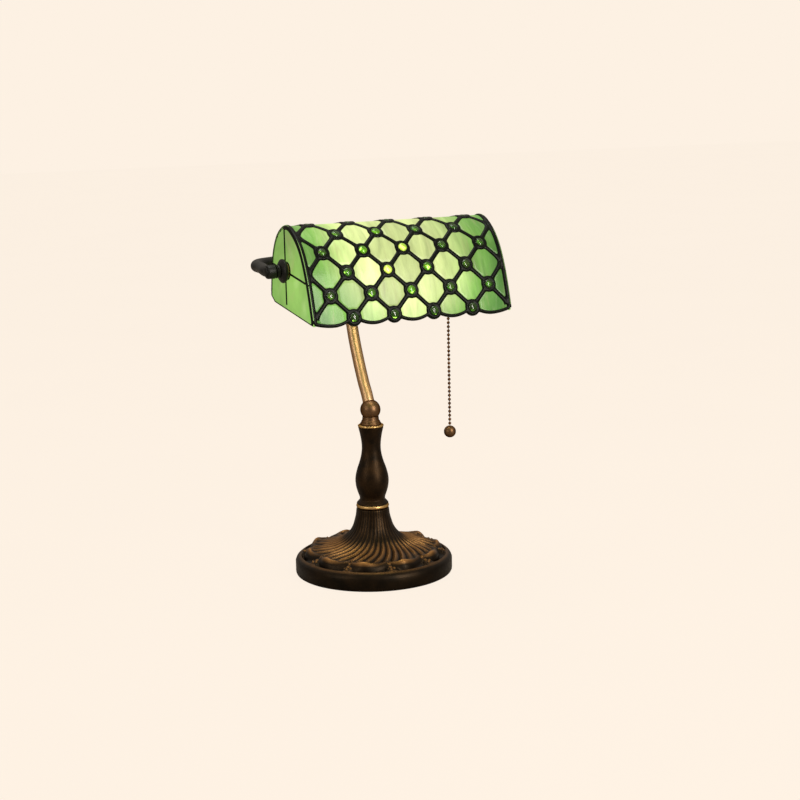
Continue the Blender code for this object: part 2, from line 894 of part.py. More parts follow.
def diagonal_end(column, row, step, up, columns, pitch, border, spread):
    """The two corners of a diagonal's end, on a seat's ring or on the side border."""
    inner, reach, slot = border
    x, run = column * COLUMN, row * pitch
    if abs(column) == columns:
        side = 1 if column > 0 else -1
        way = 1 if up else -1
        return ((side * inner, run + way * (reach + slot)), (side * inner, run + way * (reach - slot)))
    heading = {(1, True): 45, (-1, True): 135, (-1, False): 225, (1, False): 315}[(step, up)]
    return ring_spots(x, run, (heading - spread, heading + spread))


def add_diagonal(lattice, arch, row, column, step, columns, border, spread):
    """A strip from one seat up to the next row's seat, split midway so that it follows the arch."""
    far = column + step
    if abs(far) > columns:
        return
    pitch = arch.pitch
    low = diagonal_end(column, row, step, True, columns, pitch, border, spread)
    high = diagonal_end(far, row + 1, -step, False, columns, pitch, border, spread)
    middle_x = (column + far) / 2 * COLUMN
    middle_run = (row + 0.5) * pitch
    half = CAME_WIDTH / 2 / math.sqrt(2)
    centre = (
        (middle_x - step * half, middle_run + half),
        (middle_x + step * half, middle_run - half),
    )
    lattice.face(low[0], low[1], centre[1], centre[0])
    lattice.face(centre[0], centre[1], high[1], high[0])


def add_side_borders(lattice, arch, columns, border):
    """Bands along the arch's two ends, with a corner wherever a diagonal meets them."""
    inner, wall, reach, slot = border
    runs = [-2.4]
    for row in range(ROWS):
        middle = row * arch.pitch
        if (row + columns) % 2:
            if row > 0:
                runs += [middle - reach - slot, middle - reach + slot]
            if row < ROWS - 1:
                runs += [middle + reach - slot, middle + reach + slot]
        if row < ROWS - 1:
            runs.append(middle + arch.pitch / 2)
        if not (row + columns) % 2:
            runs.append(middle)
    runs = sorted(set(runs))
    runs.append(arch.length + SCALLOP_BACK - 4.0)
    for side in (-1, 1):
        for a, b in zip(runs, runs[1:]):
            lattice.face((side * inner, a), (side * wall, a), (side * wall, b), (side * inner, b))


def add_edge_border(lattice, arch, columns, border, front):
    """A scalloped band along one long edge, from seat to seat and out to the side bands."""
    inner, wall = border
    row = 0 if front else ROWS - 1
    base = 0.0 if front else arch.length
    way = -1 if front else 1
    depth = 3.4
    leave = (324, 356) if front else (36, 4)
    arrive = (216, 184) if front else (144, 176)
    seats = [c for c in range(-columns + 1, columns) if (row + c) % 2]
    steps = 5

    def curve(x):
        return front_scallop(x) if front else back_scallop(x)

    def strip(start, end, first, last):
        edges = [first]
        for k in range(1, steps):
            x = start + (end - start) * k / steps
            out = base + curve(x) + way * 0.4
            edges.append(((x, out), (x, out - way * depth)))
        edges.append(last)
        for (a, b), (c, d) in zip(edges, edges[1:]):
            lattice.face(a, b, d, c)

    for a, b in zip(seats, seats[1:]):
        first = tuple(ring_spots(a * COLUMN, base, leave))
        last = tuple(ring_spots(b * COLUMN, base, arrive))
        strip(a * COLUMN + JEWEL_RING * 0.9, b * COLUMN - JEWEL_RING * 0.9, first, last)
    corner = base - 2.4 if front else base + SCALLOP_BACK - 4.0
    low = corner + way * depth
    for side in (-1, 1):
        seat = max(seats) * side
        angles = leave if side > 0 else arrive
        first = tuple(ring_spots(seat * COLUMN, base, angles))
        last = ((side * inner, low), (side * inner, corner))
        strip(seat * COLUMN + side * JEWEL_RING * 0.9, side * inner, first, last)
        lattice.face((side * inner, low), (side * inner, corner), (side * wall, corner), (side * wall, low))


# ---------------------------------------------------------------- shade ends

def panel_outline(arch, inset, front_inset):
    """The end panel as (forward, up) points, from the front bottom corner over the arch to the back."""
    steps = 2 * (ROWS - 1)
    low = Vector((PANEL_FRONT[0] - front_inset, PANEL_FRONT[1] + inset))
    outline = [tuple(low)]
    for k in range(steps + 1):
        share = min(k / (steps / 2), 1.0)
        depth = front_inset + (inset - front_inset) * share**3
        point = arch.at(arch.length * k / steps, -depth)
        outline.append((point.x, point.y))
    for forward, up in PANEL_BACK:
        outline.append((forward + inset, up + 0.8 * inset))
    return outline


def clip(outline, normal, offset):
    """Keeps the part of a convex outline on the side that the normal points to."""
    kept = []
    count = len(outline)
    for k in range(count):
        a, b = Vector(outline[k]), Vector(outline[(k + 1) % count])
        da, db = a.dot(normal) - offset, b.dot(normal) - offset
        if da >= 0:
            kept.append(tuple(a))
        if (da >= 0) != (db >= 0):
            kept.append(tuple(a + (b - a) * (da / (da - db))))
    return kept


def quadrant(arch, forward, upward, insets, half_line):
    """One of the four end panes: the outline cut by the upright line and the level one."""
    outline = panel_outline(arch, *insets)
    for (run, rise, offset), way in ((UPRIGHT_LINE, forward), (LEVEL_LINE, upward)):
        outline = clip(outline, Vector((run, rise)) * way, half_line + offset * way)
    return outline


def prism(outline, near, far):
    """A flat plate across X with the given (forward, up) outline."""
    bm = bmesh.new()
    rings = [[bm.verts.new((x, -forward, up)) for forward, up in outline] for x in (near, far)]
    bm.faces.new(rings[0])
    bm.faces.new(list(reversed(rings[1])))
    bridge(bm, *rings)
    return bm


def make_shade_end(arch, side, word, bore, parent):
    inside, outside = (side * x for x in PANE_X)
    low, high = (side * x for x in END_CAME_X)
    notch_profile = disc_profile(EYELET_RADIUS + GAP, *(side * x for x in NOTCH_X))
    notch = add_object(word + "_eyelet_cutter", lathe(notch_profile, 24, "X"), steel(), parent)
    hide_cutter(notch)
    frame = prism(panel_outline(arch, 0.0, 0.0), low, high)
    came = add_object(word + "_end_came", frame, lead_came(), parent)
    came.data.shade_flat()
    for forward, front_word in ((1, "front"), (-1, "back")):
        for upward, height_word in ((1, "upper"), (-1, "lower")):
            name = f"{word}_pane_{front_word}_{height_word}"
            pane = prism(quadrant(arch, forward, upward, (0.0, 0.0), PANE_SEAM), inside, outside)
            glass = add_object(name, pane, art_glass(), parent, smooth_angle=0)
            cut(glass, notch)
            opening = quadrant(arch, forward, upward, PANEL_CAME, CAME_SEAM)
            window = prism(opening, *(side * x for x in WINDOW_X))
            cutter = add_object(name + "_window_cutter", window, steel(), parent)
            hide_cutter(cutter)
            cut(came, cutter)
    cut(came, notch)
    eyelet = tube_profile(bore, EYELET_RADIUS, *EYELET)
    add_object(word + "_eyelet", lathe(along_x(eyelet, side), 24, "X"), bright_brass(), parent)


def make_shade(parent):
    arch = Arch()
    make_shade_glass(arch, parent)
    make_came_lattice(arch, parent)
    make_shade_end(arch, -1, "left", SCREW_RADIUS + GAP, parent)
    make_shade_end(arch, 1, "right", ROD_CLEAR, parent)


# ---------------------------------------------------------------- lamp

def main():
    clear_scene()
    make_base_casting()
    make_base_fittings()
    make_post()
    make_swivel_collar()
    neck = joint_empty("neck_axis", (0, 0, BALL_Z))
    make_swivel_ball(neck)
    make_neck(neck)
    make_hub(neck)
    make_arm(-1, "left_arm", neck)
    make_arm(1, "right_arm", neck)
    make_pivot_side(-1, "left", SCREW_RADIUS + GAP, neck)
    make_pivot_side(1, "right", ROD_CLEAR, neck)
    make_left_screw(neck)
    make_right_nipple(neck)
    make_socket(neck)
    make_bulb(neck)
    slide = joint_empty("switch_slide", (SWITCH_X, AXIS_Y, CHAIN_TOP_Z), neck)
    swing = joint_empty("chain_swing", (SWITCH_X, AXIS_Y, CHAIN_TOP_Z), neck)
    make_switch(neck, slide, swing)
    make_shade(joint_empty("shade_axis", (0, AXIS_Y, AXIS_Z), neck, SHADE_TILT))


main()
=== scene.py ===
"""Looks of the banker desk lamp: leaded glass shade, turned bronze post, cast swirl base, brass neck."""

import json
import math
from collections import defaultdict

import bmesh
import bpy
from mathutils import Matrix, Quaternion, Vector, noise


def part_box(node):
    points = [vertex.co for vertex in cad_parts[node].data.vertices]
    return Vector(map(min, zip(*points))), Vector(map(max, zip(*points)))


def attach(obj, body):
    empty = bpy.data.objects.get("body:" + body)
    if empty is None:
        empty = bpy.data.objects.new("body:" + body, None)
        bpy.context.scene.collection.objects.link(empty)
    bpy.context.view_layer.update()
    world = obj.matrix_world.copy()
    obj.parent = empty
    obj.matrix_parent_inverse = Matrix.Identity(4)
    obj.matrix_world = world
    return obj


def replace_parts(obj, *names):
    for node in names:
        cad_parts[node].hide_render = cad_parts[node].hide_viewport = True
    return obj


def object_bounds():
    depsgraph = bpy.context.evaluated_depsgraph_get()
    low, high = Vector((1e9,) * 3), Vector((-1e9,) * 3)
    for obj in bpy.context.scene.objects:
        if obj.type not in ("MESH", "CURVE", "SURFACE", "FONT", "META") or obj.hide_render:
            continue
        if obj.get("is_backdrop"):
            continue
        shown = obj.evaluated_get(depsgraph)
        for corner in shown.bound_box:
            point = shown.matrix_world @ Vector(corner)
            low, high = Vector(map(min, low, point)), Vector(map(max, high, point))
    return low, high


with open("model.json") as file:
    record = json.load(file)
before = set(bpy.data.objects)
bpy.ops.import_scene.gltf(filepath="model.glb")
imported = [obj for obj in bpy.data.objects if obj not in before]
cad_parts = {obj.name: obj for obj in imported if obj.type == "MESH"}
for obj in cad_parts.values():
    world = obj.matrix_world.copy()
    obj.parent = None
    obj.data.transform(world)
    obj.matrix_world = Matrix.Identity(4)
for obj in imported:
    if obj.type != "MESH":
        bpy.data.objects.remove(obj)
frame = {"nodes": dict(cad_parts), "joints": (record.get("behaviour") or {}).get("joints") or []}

CAD_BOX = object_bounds()
MM = 0.001  # every size below is in mm
NODES = frame["nodes"]
JOINTS = {joint["name"]: joint for joint in frame["joints"]}


def in_mm(point):
    return Vector(point) / MM


BALL = in_mm(JOINTS["neck_tilt"]["pos_m"])
AXIS = in_mm(JOINTS["shade_tilt"]["pos_m"])
CHAIN_TOP = in_mm(JOINTS["chain_swing"]["pos_m"])


def box_mm(node):
    low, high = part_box(node)
    return in_mm(low), in_mm(high)


# ---------------------------------------------------------------- mesh tools

def link(name, mesh, smooth=50):
    if smooth:
        mesh.shade_smooth()
        mesh.set_sharp_from_angle(angle=math.radians(smooth))
    obj = bpy.data.objects.new(name, mesh)
    bpy.context.scene.collection.objects.link(obj)
    return obj


def from_lists(name, verts, faces, smooth=50):
    """An object from corners in mm, its faces turned outwards."""
    mesh = bpy.data.meshes.new(name)
    mesh.from_pydata([Vector(v) * MM for v in verts], [], faces)
    bm = bmesh.new()
    bm.from_mesh(mesh)
    bmesh.ops.recalc_face_normals(bm, faces=bm.faces)
    bm.to_mesh(mesh)
    bm.free()
    return link(name, mesh, smooth)


def piece(obj, body, slot, material, *nodes):
    """Gives a finished object its material, puts it under its body's empty and hides the CAD pieces that it
    replaces.
    """
    obj.data.materials.clear()
    obj.data.materials.append(material)
    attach(obj, body)
    if nodes:
        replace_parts(obj, *nodes)
    return obj


def soften(profile, closed, cap=0.45, steps=4):
    """Rounds a profile's corners: tight fillets at sharp turns, long ones along a smooth curve."""
    count = len(profile)
    found = []
    for k, point in enumerate(profile):
        here = Vector(point)
        if not closed and k in (0, count - 1):
            found.append(here)
            continue
        before = Vector(profile[k - 1]) - here
        after = Vector(profile[(k + 1) % count]) - here
        turn = math.pi - before.angle(after, math.pi)
        room = 0.45 * min(before.length, after.length)
        cut = room if turn < math.radians(34) else min(room, cap)
        start = here + before.normalized() * cut
        end = here + after.normalized() * cut
        for i in range(steps + 1):
            t = i / steps
            found.append(start * (1 - t) ** 2 + here * 2 * t * (1 - t) + end * t**2)
    return [tuple(p) for p in found]


ON_AXIS = 0.05
TURNS = {
    "Z": Matrix.Identity(3),
    "X": Matrix.Rotation(math.pi / 2, 3, "Y"),
    "Y": Matrix.Rotation(-math.pi / 2, 3, "X"),
}


def strips(pairs, count):
    """Four-cornered faces between pairs of rings."""
    steps = [(i, (i + 1) % count) for i in range(count)]
    return [(a[i], a[n], b[n], b[i]) for a, b in pairs for i, n in steps]


def lathe(name, profile, closed, count=96, axis="Z", place=(0, 0, 0), turn=None, smooth=50):
    """Turns (radius, height) points. An open profile starts and ends on its axis."""
    turn = turn or TURNS[axis]
    place = Vector(place)
    verts = []
    rings = []
    for radius, height in profile:
        if radius < 1e-4:
            rings.append([len(verts)] * count)
            verts.append(place + turn @ Vector((0, 0, height)))
            continue
        rings.append(list(range(len(verts), len(verts) + count)))
        for i in range(count):
            angle = 2 * math.pi * i / count
            spot = Vector((radius * math.cos(angle), radius * math.sin(angle), height))
            verts.append(place + turn @ spot)
    pairs = list(zip(rings, rings[1:]))
    if closed:
        pairs.append((rings[-1], rings[0]))
    faces = [list(dict.fromkeys(corners)) for corners in strips(pairs, count)]
    faces = [face for face in faces if len(face) > 2]
    return from_lists(name, verts, faces, smooth)


def cad_profile(node, axis, place, turn=None):
    """The (radius, height) outline of a CAD piece that was turned, walked from its meridian edges."""
    back = (turn or TURNS[axis]).inverted()
    mesh = NODES[node].data
    spots = [back @ (v.co / MM - Vector(place)) for v in mesh.vertices]
    keys = [(round(math.hypot(p.x, p.y), 1), round(p.z, 1)) for p in spots]
    places = {}
    for key, spot in zip(keys, spots):
        places.setdefault(key, (math.hypot(spot.x, spot.y), spot.z))
    near = defaultdict(set)
    for edge in mesh.edges:
        a, b = edge.vertices
        p, q = spots[a], spots[b]
        if keys[a] == keys[b]:
            continue
        across = abs(p.x * q.y - p.y * q.x)
        if across < 0.02 * max(p.length, q.length):
            near[keys[a]].add(keys[b])
            near[keys[b]].add(keys[a])
    ends = [key for key in near if key[0] < ON_AXIS]
    here = max(ends, key=lambda k: k[1]) if ends else max(near)
    walked = [here]
    while True:
        at_start = here[0] < ON_AXIS and len(walked) < 3
        fresh = [key for key in near[walked[-1]] if key not in walked]
        ahead = [key for key in fresh if not (at_start and key[0] < ON_AXIS)]
        if not ahead:
            break
        walked.append(min(ahead, key=lambda k: math.dist(k, walked[-1])))
    outline = [places[key] for key in walked]
    if ends:
        outline = [(0.0, outline[0][1]), *outline[1:-1], (0.0, outline[-1][1])]
    return outline, not ends


def turned(node, body, slot, material, axis="Z", place=(0, 0, 0), cap=0.45, count=96, turn=None):
    """A CAD piece that was turned, made again with fine facets and rounded corners."""
    outline, closed = cad_profile(node, axis, place, turn)
    fine = soften(outline, closed, cap)
    obj = lathe(node + "_turned", fine, closed, count, axis, place, turn)
    return piece(obj, body, slot, material, node)


def smooth_curve(points, steps):
    knots = [Vector(p) for p in points]
    knots = [2 * knots[0] - knots[1], *knots, 2 * knots[-1] - knots[-2]]
    found = []
    for a, b, c, d in zip(knots, knots[1:], knots[2:], knots[3:]):
        for k in range(steps):
            t = k / steps
            curve = 2 * b + (c - a) * t + (2 * a - 5 * b + 4 * c - d) * t**2
            found.append(0.5 * (curve + (3 * b - a - 3 * c + d) * t**3))
    found.append(knots[-2])
    return found


def sweep_tube(name, path, outer, inner, across, count=32):
    """A hollow tube along a flat path, with its rims rounded."""
    across = Vector(across)
    lip = 0.35
    verts, faces, skins = [], [], []
    for radius in (outer, inner):
        rings = []
        for k, point in enumerate(path):
            ahead = (path[min(k + 1, len(path) - 1)] - path[max(k - 1, 0)]).normalized()
            side = ahead.cross(across)
            size = radius
            if radius == outer and k in (0, len(path) - 1):
                size = radius - lip
            rings.append(list(range(len(verts), len(verts) + count)))
            for i in range(count):
                angle = 2 * math.pi * i / count
                verts.append(point + size * (math.cos(angle) * side + math.sin(angle) * across))
        skins.append(rings)
        faces += strips(zip(rings, rings[1:]), count)
    faces += strips([(skins[0][end], skins[1][end]) for end in (0, -1)], count)
    return from_lists(name, verts, faces)


# ---------------------------------------------------------------- materials

class Nodes:
    """Short words for building the node tree of one material, or of the world."""

    def __init__(self, name, world=None):
        self.material = world or bpy.data.materials.new(name)
        self.material.use_nodes = True
        self.tree = self.material.node_tree
        self.shader = self.tree.nodes["Background" if world else "Principled BSDF"]
        self.place = self.add("ShaderNodeTexCoord").outputs["Object"]

    def add(self, kind, **settings):
        node = self.tree.nodes.new(kind)
        for key, value in settings.items():
            setattr(node, key, value)
        return node

    def join(self, source, target):
        self.tree.links.new(source, target)

    def put(self, socket, value):
        if hasattr(value, "links"):
            self.join(value, socket)
        else:
            socket.default_value = value

    def set(self, **values):
        for key, value in values.items():
            self.put(self.shader.inputs[key.replace("_", " ")], value)

    def stretched(self, x, y, z):
        mapping = self.add("ShaderNodeMapping")
        mapping.inputs["Scale"].default_value = (x, y, z)
        self.join(self.place, mapping.inputs["Vector"])
        return mapping.outputs["Vector"]

    def noise(self, scale, detail=4.0, where=None, roughness=0.55, distortion=0.0):
        node = self.add("ShaderNodeTexNoise")
        self.join(where or self.place, node.inputs["Vector"])
        node.inputs["Scale"].default_value = scale
        node.inputs["Detail"].default_value = detail
        node.inputs["Roughness"].default_value = roughness
        node.inputs["Distortion"].default_value = distortion
        return node.outputs["Fac"]

    def ramp(self, value, *stops):
        node = self.add("ShaderNodeValToRGB")
        self.join(value, node.inputs["Fac"])
        band = node.color_ramp
        while len(band.elements) < len(stops):
            band.elements.new(0.5)
        for element, (at, colour) in zip(band.elements, stops):
            element.position = at
            element.color = (*colour, 1.0) if len(colour) == 3 else colour
        return node.outputs["Color"]

    def grey(self, value, low, high, start=0.0, end=1.0):
        node = self.add("ShaderNodeMapRange")
        self.put(node.inputs["Value"], value)
        node.inputs["From Min"].default_value = start
        node.inputs["From Max"].default_value = end
        node.inputs["To Min"].default_value = low
        node.inputs["To Max"].default_value = high
        return node.outputs["Result"]

    def math(self, operation, a, b=0.0):
        node = self.add("ShaderNodeMath", operation=operation)
        self.put(node.inputs[0], a)
        self.put(node.inputs[1], b)
        return node.outputs["Value"]

    def mix(self, share, a, b, mode="MIX"):
        node = self.add("ShaderNodeMix", data_type="RGBA", blend_type=mode)
        self.put(node.inputs[0], share)
        self.put(node.inputs[6], a)
        self.put(node.inputs[7], b)
        return node.outputs[2]

    def bump(self, height, strength, distance):
        node = self.add("ShaderNodeBump")
        self.join(height, node.inputs["Height"])
        node.inputs["Strength"].default_value = strength
        node.inputs["Distance"].default_value = distance
        self.join(node.outputs["Normal"], self.shader.inputs["Normal"])

    def attribute(self, name):
        return self.add("ShaderNodeAttribute", attribute_name=name).outputs["Fac"]


def rgb(red, green, blue):
    """Linear colour from 0-255 values as seen on a screen."""
    parts = (red, green, blue)
    return tuple(((c / 255 + 0.055) / 1.055) ** 2.4 if c > 10 else c / 255 / 12.92 for c in parts)


def four(colour):
    return (*colour, 1.0)


def bronze_material(name, dark, brown, gold=None, wear_and_sheen=None):
    """Cast bronze: near-black, golden where its attribute is high; that attribute holds worn metal, painted
    highlights and painted shade.
    """
    nodes = Nodes(name)
    cloud = nodes.noise(60, 6)
    fine = nodes.noise(900, 3)
    base = nodes.ramp(cloud, (0.35, dark), (0.7, brown))
    if wear_and_sheen:
        wear_and_sheen_layer = nodes.attribute(wear_and_sheen)
        broken = nodes.math("MULTIPLY", wear_and_sheen_layer, nodes.grey(nodes.noise(160, 4), 0.85, 1.12, 0.3, 0.7))
        share = nodes.grey(broken, 0.0, 1.0, 0.1, 1.05)
        colour = nodes.mix(share, base, four(gold))
        nodes.set(Roughness=nodes.grey(share, 0.42, 0.3))
    else:
        colour = base
        nodes.set(Roughness=nodes.grey(nodes.noise(140, 4), 0.42, 0.5))
    nodes.set(Base_Color=colour, Metallic=0.9)
    nodes.bump(fine, 0.05, 0.0002)
    return nodes.material


def brass_material(name, low, high, rough_low, rough_high, scale=40, edge=(1, 1, 1)):
    """Brass; "edge" tints its reflection dark where it is seen edge on: painted shade at its rims."""
    nodes = Nodes(name)
    cloud = nodes.noise(scale, 3)
    nodes.set(Base_Color=nodes.ramp(cloud, (0.3, low), (0.72, high)), Metallic=1.0)
    nodes.set(Roughness=nodes.grey(cloud, rough_low, rough_high))
    nodes.shader.inputs["Specular Tint"].default_value = four(edge)
    return nodes.material


def plain_material(name, low, high, roughness, metallic=0.0, scale=300, bump=0.15):
    nodes = Nodes(name)
    nodes.set(Base_Color=nodes.ramp(nodes.noise(scale, 4), (0.3, low), (0.7, high)))
    nodes.set(Roughness=nodes.grey(nodes.noise(scale * 2, 3), roughness - 0.06, roughness + 0.06))
    nodes.shader.inputs["Metallic"].default_value = metallic
    nodes.shader.inputs["Specular IOR Level"].default_value = 0.3
    nodes.bump(nodes.noise(scale * 4, 3), bump, 0.0003)
    return nodes.material


def felt_material():
    nodes = Nodes("felt")
    nap = nodes.noise(700, 6)
    nodes.set(Base_Color=nodes.ramp(nap, (0.3, (0.015, 0.05, 0.03)), (0.7, (0.05, 0.12, 0.07))))
    nodes.shader.inputs["Roughness"].default_value = 0.95
    nodes.shader.inputs["Sheen Weight"].default_value = 0.5
    nodes.bump(nodes.noise(2500, 4), 0.5, 0.0004)
    return nodes.material


def painted_glow_share(nodes, near, far, ahead=0.0):
    """Share of the painted glow: 1 by the bulb, falling to 0 at the shade's ends, from each point's
    distance to the bulb's tip. Ahead moves that centre forward and to the left, so the brightest spot is
    painted where the bulb would show through.
    """
    low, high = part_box("bulb_glass")
    centre = (low + high) / 2
    centre.x = low.x + 0.3 * (high.x - low.x) - ahead / 2 * MM
    centre.y -= ahead * MM
    shift = nodes.add("ShaderNodeVectorMath", operation="SUBTRACT")
    nodes.join(nodes.place, shift.inputs[0])
    shift.inputs[1].default_value = centre
    size = nodes.add("ShaderNodeVectorMath", operation="LENGTH")
    nodes.join(shift.outputs["Vector"], size.inputs[0])
    return nodes.grey(size.outputs["Value"], 1.0, 0.0, near * MM, far * MM)


def glass_material(name, far, middle, near, level):
    """Opalescent art glass, streaked up and down, with a painted glow: it gives off its own light,
    brightest near the bulb, in place of the bulb's light through it.
    """
    nodes = Nodes(name)
    streaks = nodes.noise(34, 5, nodes.stretched(2.8, 0.5, 0.5), 0.6, 0.5)
    wisps = nodes.noise(48, 4, nodes.stretched(2.2, 0.5, 0.5), 0.55, 1.4)
    pink = nodes.noise(70, 3, nodes.stretched(2.4, 0.35, 0.35), 0.5, 0.8)
    shift = nodes.attribute("cell_tone")
    glow = painted_glow_share(nodes, 46, 118, 6)
    painted_glow = nodes.ramp(
        glow,
        (0.0, far),
        (0.35, middle),
        (0.62, tuple(0.45 * a + 0.55 * b for a, b in zip(middle, near))),
        (0.84, tuple(0.1 * a + 0.9 * b for a, b in zip(middle, near))),
        (1.0, near),
    )
    painted_glow = nodes.mix(nodes.grey(wisps, 0.0, 0.3, 0.52, 0.74), painted_glow, four(rgb(206, 214, 160)))
    painted_glow = nodes.mix(nodes.grey(pink, 0.0, 0.22, 0.56, 0.72), painted_glow, four(rgb(196, 150, 128)))
    cool = nodes.mix(nodes.grey(shift, 0.0, 0.2), painted_glow, four(rgb(60, 122, 52)))
    streaked = nodes.grey(streaks, 0.74 * level, 1.24 * level, 0.3, 0.7)
    strength = nodes.math("MULTIPLY", streaked, nodes.grey(shift, 1.14, 0.74))
    body = nodes.ramp(streaks, (0.3, (0.02, 0.045, 0.01)), (0.7, (0.045, 0.08, 0.025)))
    nodes.set(Base_Color=body, Emission_Color=cool, Emission_Strength=strength)
    nodes.shader.inputs["Roughness"].default_value = 0.22
    nodes.shader.inputs["Specular IOR Level"].default_value = 0.25
    nodes.bump(nodes.noise(90, 3), 0.2, 0.0006)
    return nodes.material


def jewel_material():
    """Dark bottle-green glass with a painted glow, brightest and near-white where the bulb would show
    through it.
    """
    nodes = Nodes("jewel_glass")
    glow = painted_glow_share(nodes, 22, 80, 26)
    tone = nodes.attribute("cell_tone")
    inner = nodes.ramp(nodes.noise(160, 2), (0.35, (0.12, 0.34, 0.04)), (0.65, (0.24, 0.5, 0.08)))
    nodes.set(Base_Color=inner)
    nodes.shader.inputs["Specular IOR Level"].default_value = 0.3
    painted_shine = nodes.ramp(
        glow,
        (0.0, rgb(14, 50, 8)),
        (0.55, rgb(30, 84, 10)),
        (0.78, rgb(110, 176, 12)),
        (0.95, rgb(222, 245, 90)),
    )
    strength = nodes.math("MULTIPLY", nodes.grey(glow, 0.2, 0.8), nodes.grey(tone, 0.6, 1.15))
    nodes.set(Emission_Color=painted_shine, Emission_Strength=strength)
    nodes.shader.inputs["Roughness"].default_value = 0.02
    nodes.shader.inputs["Transmission Weight"].default_value = 0.9
    nodes.shader.inputs["IOR"].default_value = 1.5
    return nodes.material


def solder_material():
    nodes = Nodes("solder")
    cloud = nodes.noise(120, 4)
    nodes.set(Base_Color=nodes.ramp(cloud, (0.35, (0.002, 0.003, 0.002)), (0.75, (0.006, 0.008, 0.004))))
    nodes.set(Roughness=nodes.grey(nodes.noise(160, 3), 0.26, 0.4))
    nodes.shader.inputs["Specular IOR Level"].default_value = 0.1
    nodes.bump(nodes.noise(300, 3), 0.15, 0.0004)
    return nodes.material


def bulb_material():
    nodes = Nodes("frosted_bulb")
    cloud = nodes.noise(50, 2)
    nodes.set(Base_Color=nodes.ramp(cloud, (0.3, (0.9, 0.88, 0.8)), (0.7, (1.0, 0.97, 0.9))))
    nodes.shader.inputs["Roughness"].default_value = 0.3
    nodes.shader.inputs["Emission Color"].default_value = (1.0, 0.9, 0.68, 1)
    nodes.shader.inputs["Emission Strength"].default_value = 7.0
    return nodes.material


# ---------------------------------------------------------------- base

LOBES = 10
FLUTES = 40
LOBE_PHASE = math.radians(-101)
SWIRL = math.radians(36)
# (across, out from the base's middle, radius) of each petal where two lobes meet
PETALS = ((0, 70.0, 2.6), (3.6, 72.6, 2.0), (-3.6, 72.6, 2.0), (0.0, 74.4, 1.8), (0.0, 65.0, 2.2))
ROD_HOLE = 5.3
# (radius, height, how bright) at the rim's foot, then (radius, height) of the hollow under the base
RIM_FOOT = ((82.7, 1.8, 0.1), (82.2, 0.9, 0.0))
FELT_EDGE = ((78.8, 2.3), (76.5, 2.3))
HOLLOW = (
    (76.5, 13.4), (70.0, 16.0), (57.0, 19.0), (44.0, 23.5), (34.0, 29.0),
    (24.0, 38.0), (16.0, 50.0), (14.0, 60.0),
)


def smoothstep(low, high, value):
    t = min(max((value - low) / (high - low), 0.0), 1.0)
    return t * t * (3 - 2 * t)


def bell(value, middle, width):
    return math.exp(-(((value - middle) / width) ** 2))


